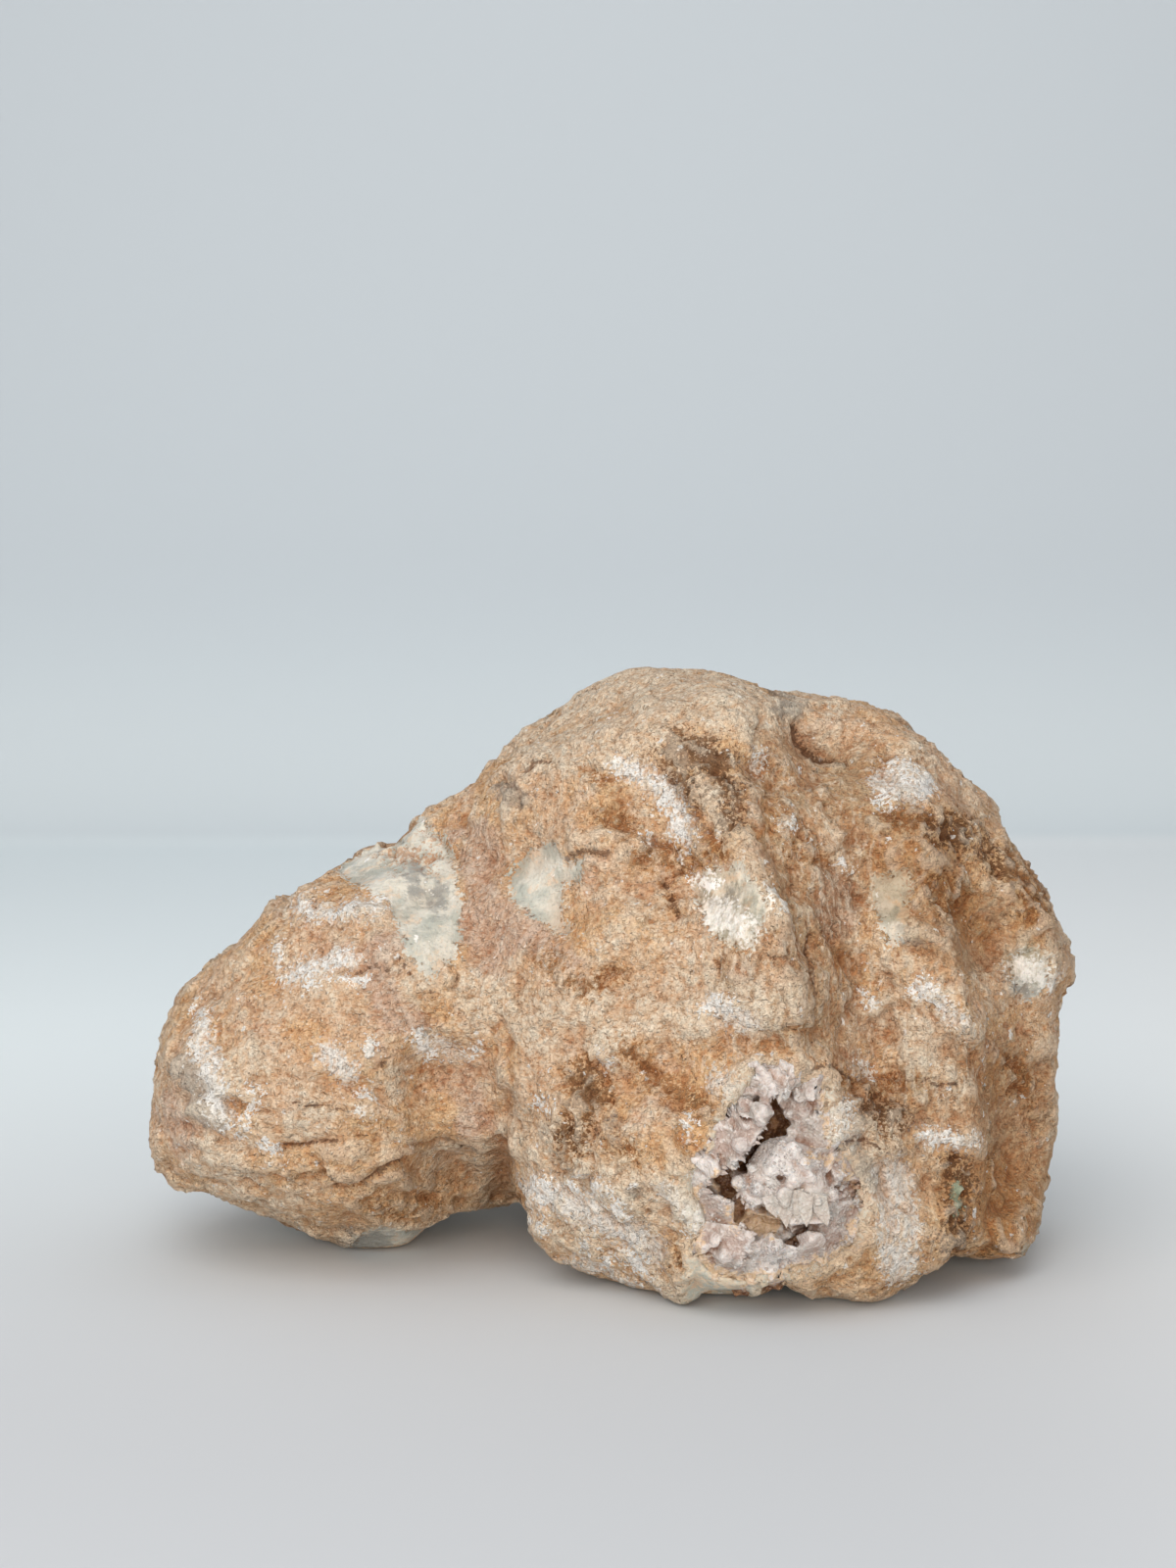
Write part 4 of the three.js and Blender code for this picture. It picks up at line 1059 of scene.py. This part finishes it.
milk_finish, tree, shader = new_finish("milky_quartz_crystals")
milk_wide = grain(tree, 4, 3, 0.55, shift=2.0)
milk_fine = grain(tree, 0.9, 3, 0.6, shift=4.0)
blush = edge(tree, grain(tree, 3.2, 3, 0.6, shift=6.0), 0.44, 0.58, 0, 0.9)
colour = over(tree, edge(tree, milk_wide, 0.42, 0.60), CRYSTAL_CREAM, CRYSTAL_GREY)
colour = over(tree, blush, colour, CRYSTAL_ROSE)
# Whiter in fine specks, in the whitest spots, and on the raised spots as painted highlight.
for mask in (edge(tree, milk_fine, 0.5, 0.66, 0, 0.5),
             edge(tree, field(tree, "hollow"), -0.06, -0.3, 0, 0.55),
             edge(tree, field(tree, "white"), 0, 1, 0, 0.6)):
    colour = over(tree, mask, colour, CRYSTAL_WHITE)
colour = over(tree, edge(tree, field(tree, "blade"), 0, 1, 0, 0.4), colour, BLADE_CREAM)
# Painted shade in the crevices between crystals.
colour = tinted(tree, edge(tree, field(tree, "hollow"), 0.02, 0.4, 0, 0.9), colour, CREVICE_SHADE_TINT)
clods = sums(tree, "MULTIPLY_ADD", grain(tree, 1.1, 4, 0.65, shift=9.0), 7.0, -3.5)
clods = edge(tree, sums(tree, "ADD", field(tree, "clayed"), clods), -0.5, 0.6, 0, 0.9)
crumbs_of_clay = over(tree, edge(tree, milk_fine, 0.42, 0.58), CRYSTAL_STAIN, TAN_CLAY)
colour = over(tree, clods, colour, crumbs_of_clay)
# Brown in the slots, darker with depth: partly clay stain, partly painted shade.
colour = over(tree, edge(tree, field(tree, "deep"), 0, 0.75), colour,
              over(tree, edge(tree, milk_fine, 0.44, 0.6), SLOT_STAIN_AND_SHADE, SLOT_CRUMB))
tree.links.new(colour, shader.inputs["Base Color"])
tree.links.new(edge(tree, field(tree, "nodule"), 0, 1, CRYSTAL_ROUGHNESS, NODULE_ROUGHNESS),
               shader.inputs["Roughness"])
shader.inputs["IOR"].default_value = CRYSTAL_IOR
shader.inputs["Subsurface Weight"].default_value = CRYSTAL_GLOW
shader.inputs["Subsurface Radius"].default_value = (1.0, 0.82, 0.68)
shader.inputs["Subsurface Scale"].default_value = CRYSTAL_GLOW_DEPTH * MM
sugar = times(tree, crumbs(tree, 0.42, milk_fine), -1.0)
relief = raised(tree, sums(tree, "SUBTRACT", milk_fine, 0.5), CRYSTAL_RELIEF, 0.7)
tree.links.new(raised(tree, sugar, SUGAR_RELIEF, 0.7, relief), shader.inputs["Normal"])
for piece in (pocket_crystals, pocket_points):
    piece.data.materials.append(milk_finish)
    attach(piece, "root")
    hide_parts("crystal_crust")

# The light: a wide soft lamp above and to the left, a fainter one overhead, a low warm one in
# front that stands for light off the table, and an even pale room around it.
LAMPS = (
    ("key_lamp", (-230, -400, 470), 640, 2.42, (255, 252, 248)),
    ("top_lamp", (60, 60, 700), 800, 0.9, (250, 252, 255)),
    ("front_lamp", (20, -640, 10), 560, 4.0, (255, 247, 234)),
)
LAMP_AIM = Vector((0, 0, 40))
ROOM_COLOUR = paint(240, 244, 248)
ROOM_STRENGTH = 0.42

for name, spot, width, power, tint in LAMPS:
    lamp = bpy.data.lights.new(name, "AREA")
    lamp.size = width * MM
    lamp.energy = power
    lamp.color = paint(*tint)[:3]
    holder = bpy.data.objects.new(name, lamp)
    holder.location = Vector(spot) * MM
    holder.rotation_euler = (LAMP_AIM - Vector(spot)).to_track_quat("-Z", "Y").to_euler()
    bpy.context.collection.objects.link(holder)

room = bpy.data.worlds.new("pale_room")
room.use_nodes = True
room.node_tree.nodes["Background"].inputs["Color"].default_value = ROOM_COLOUR
room.node_tree.nodes["Background"].inputs["Strength"].default_value = ROOM_STRENGTH
bpy.context.scene.world = room
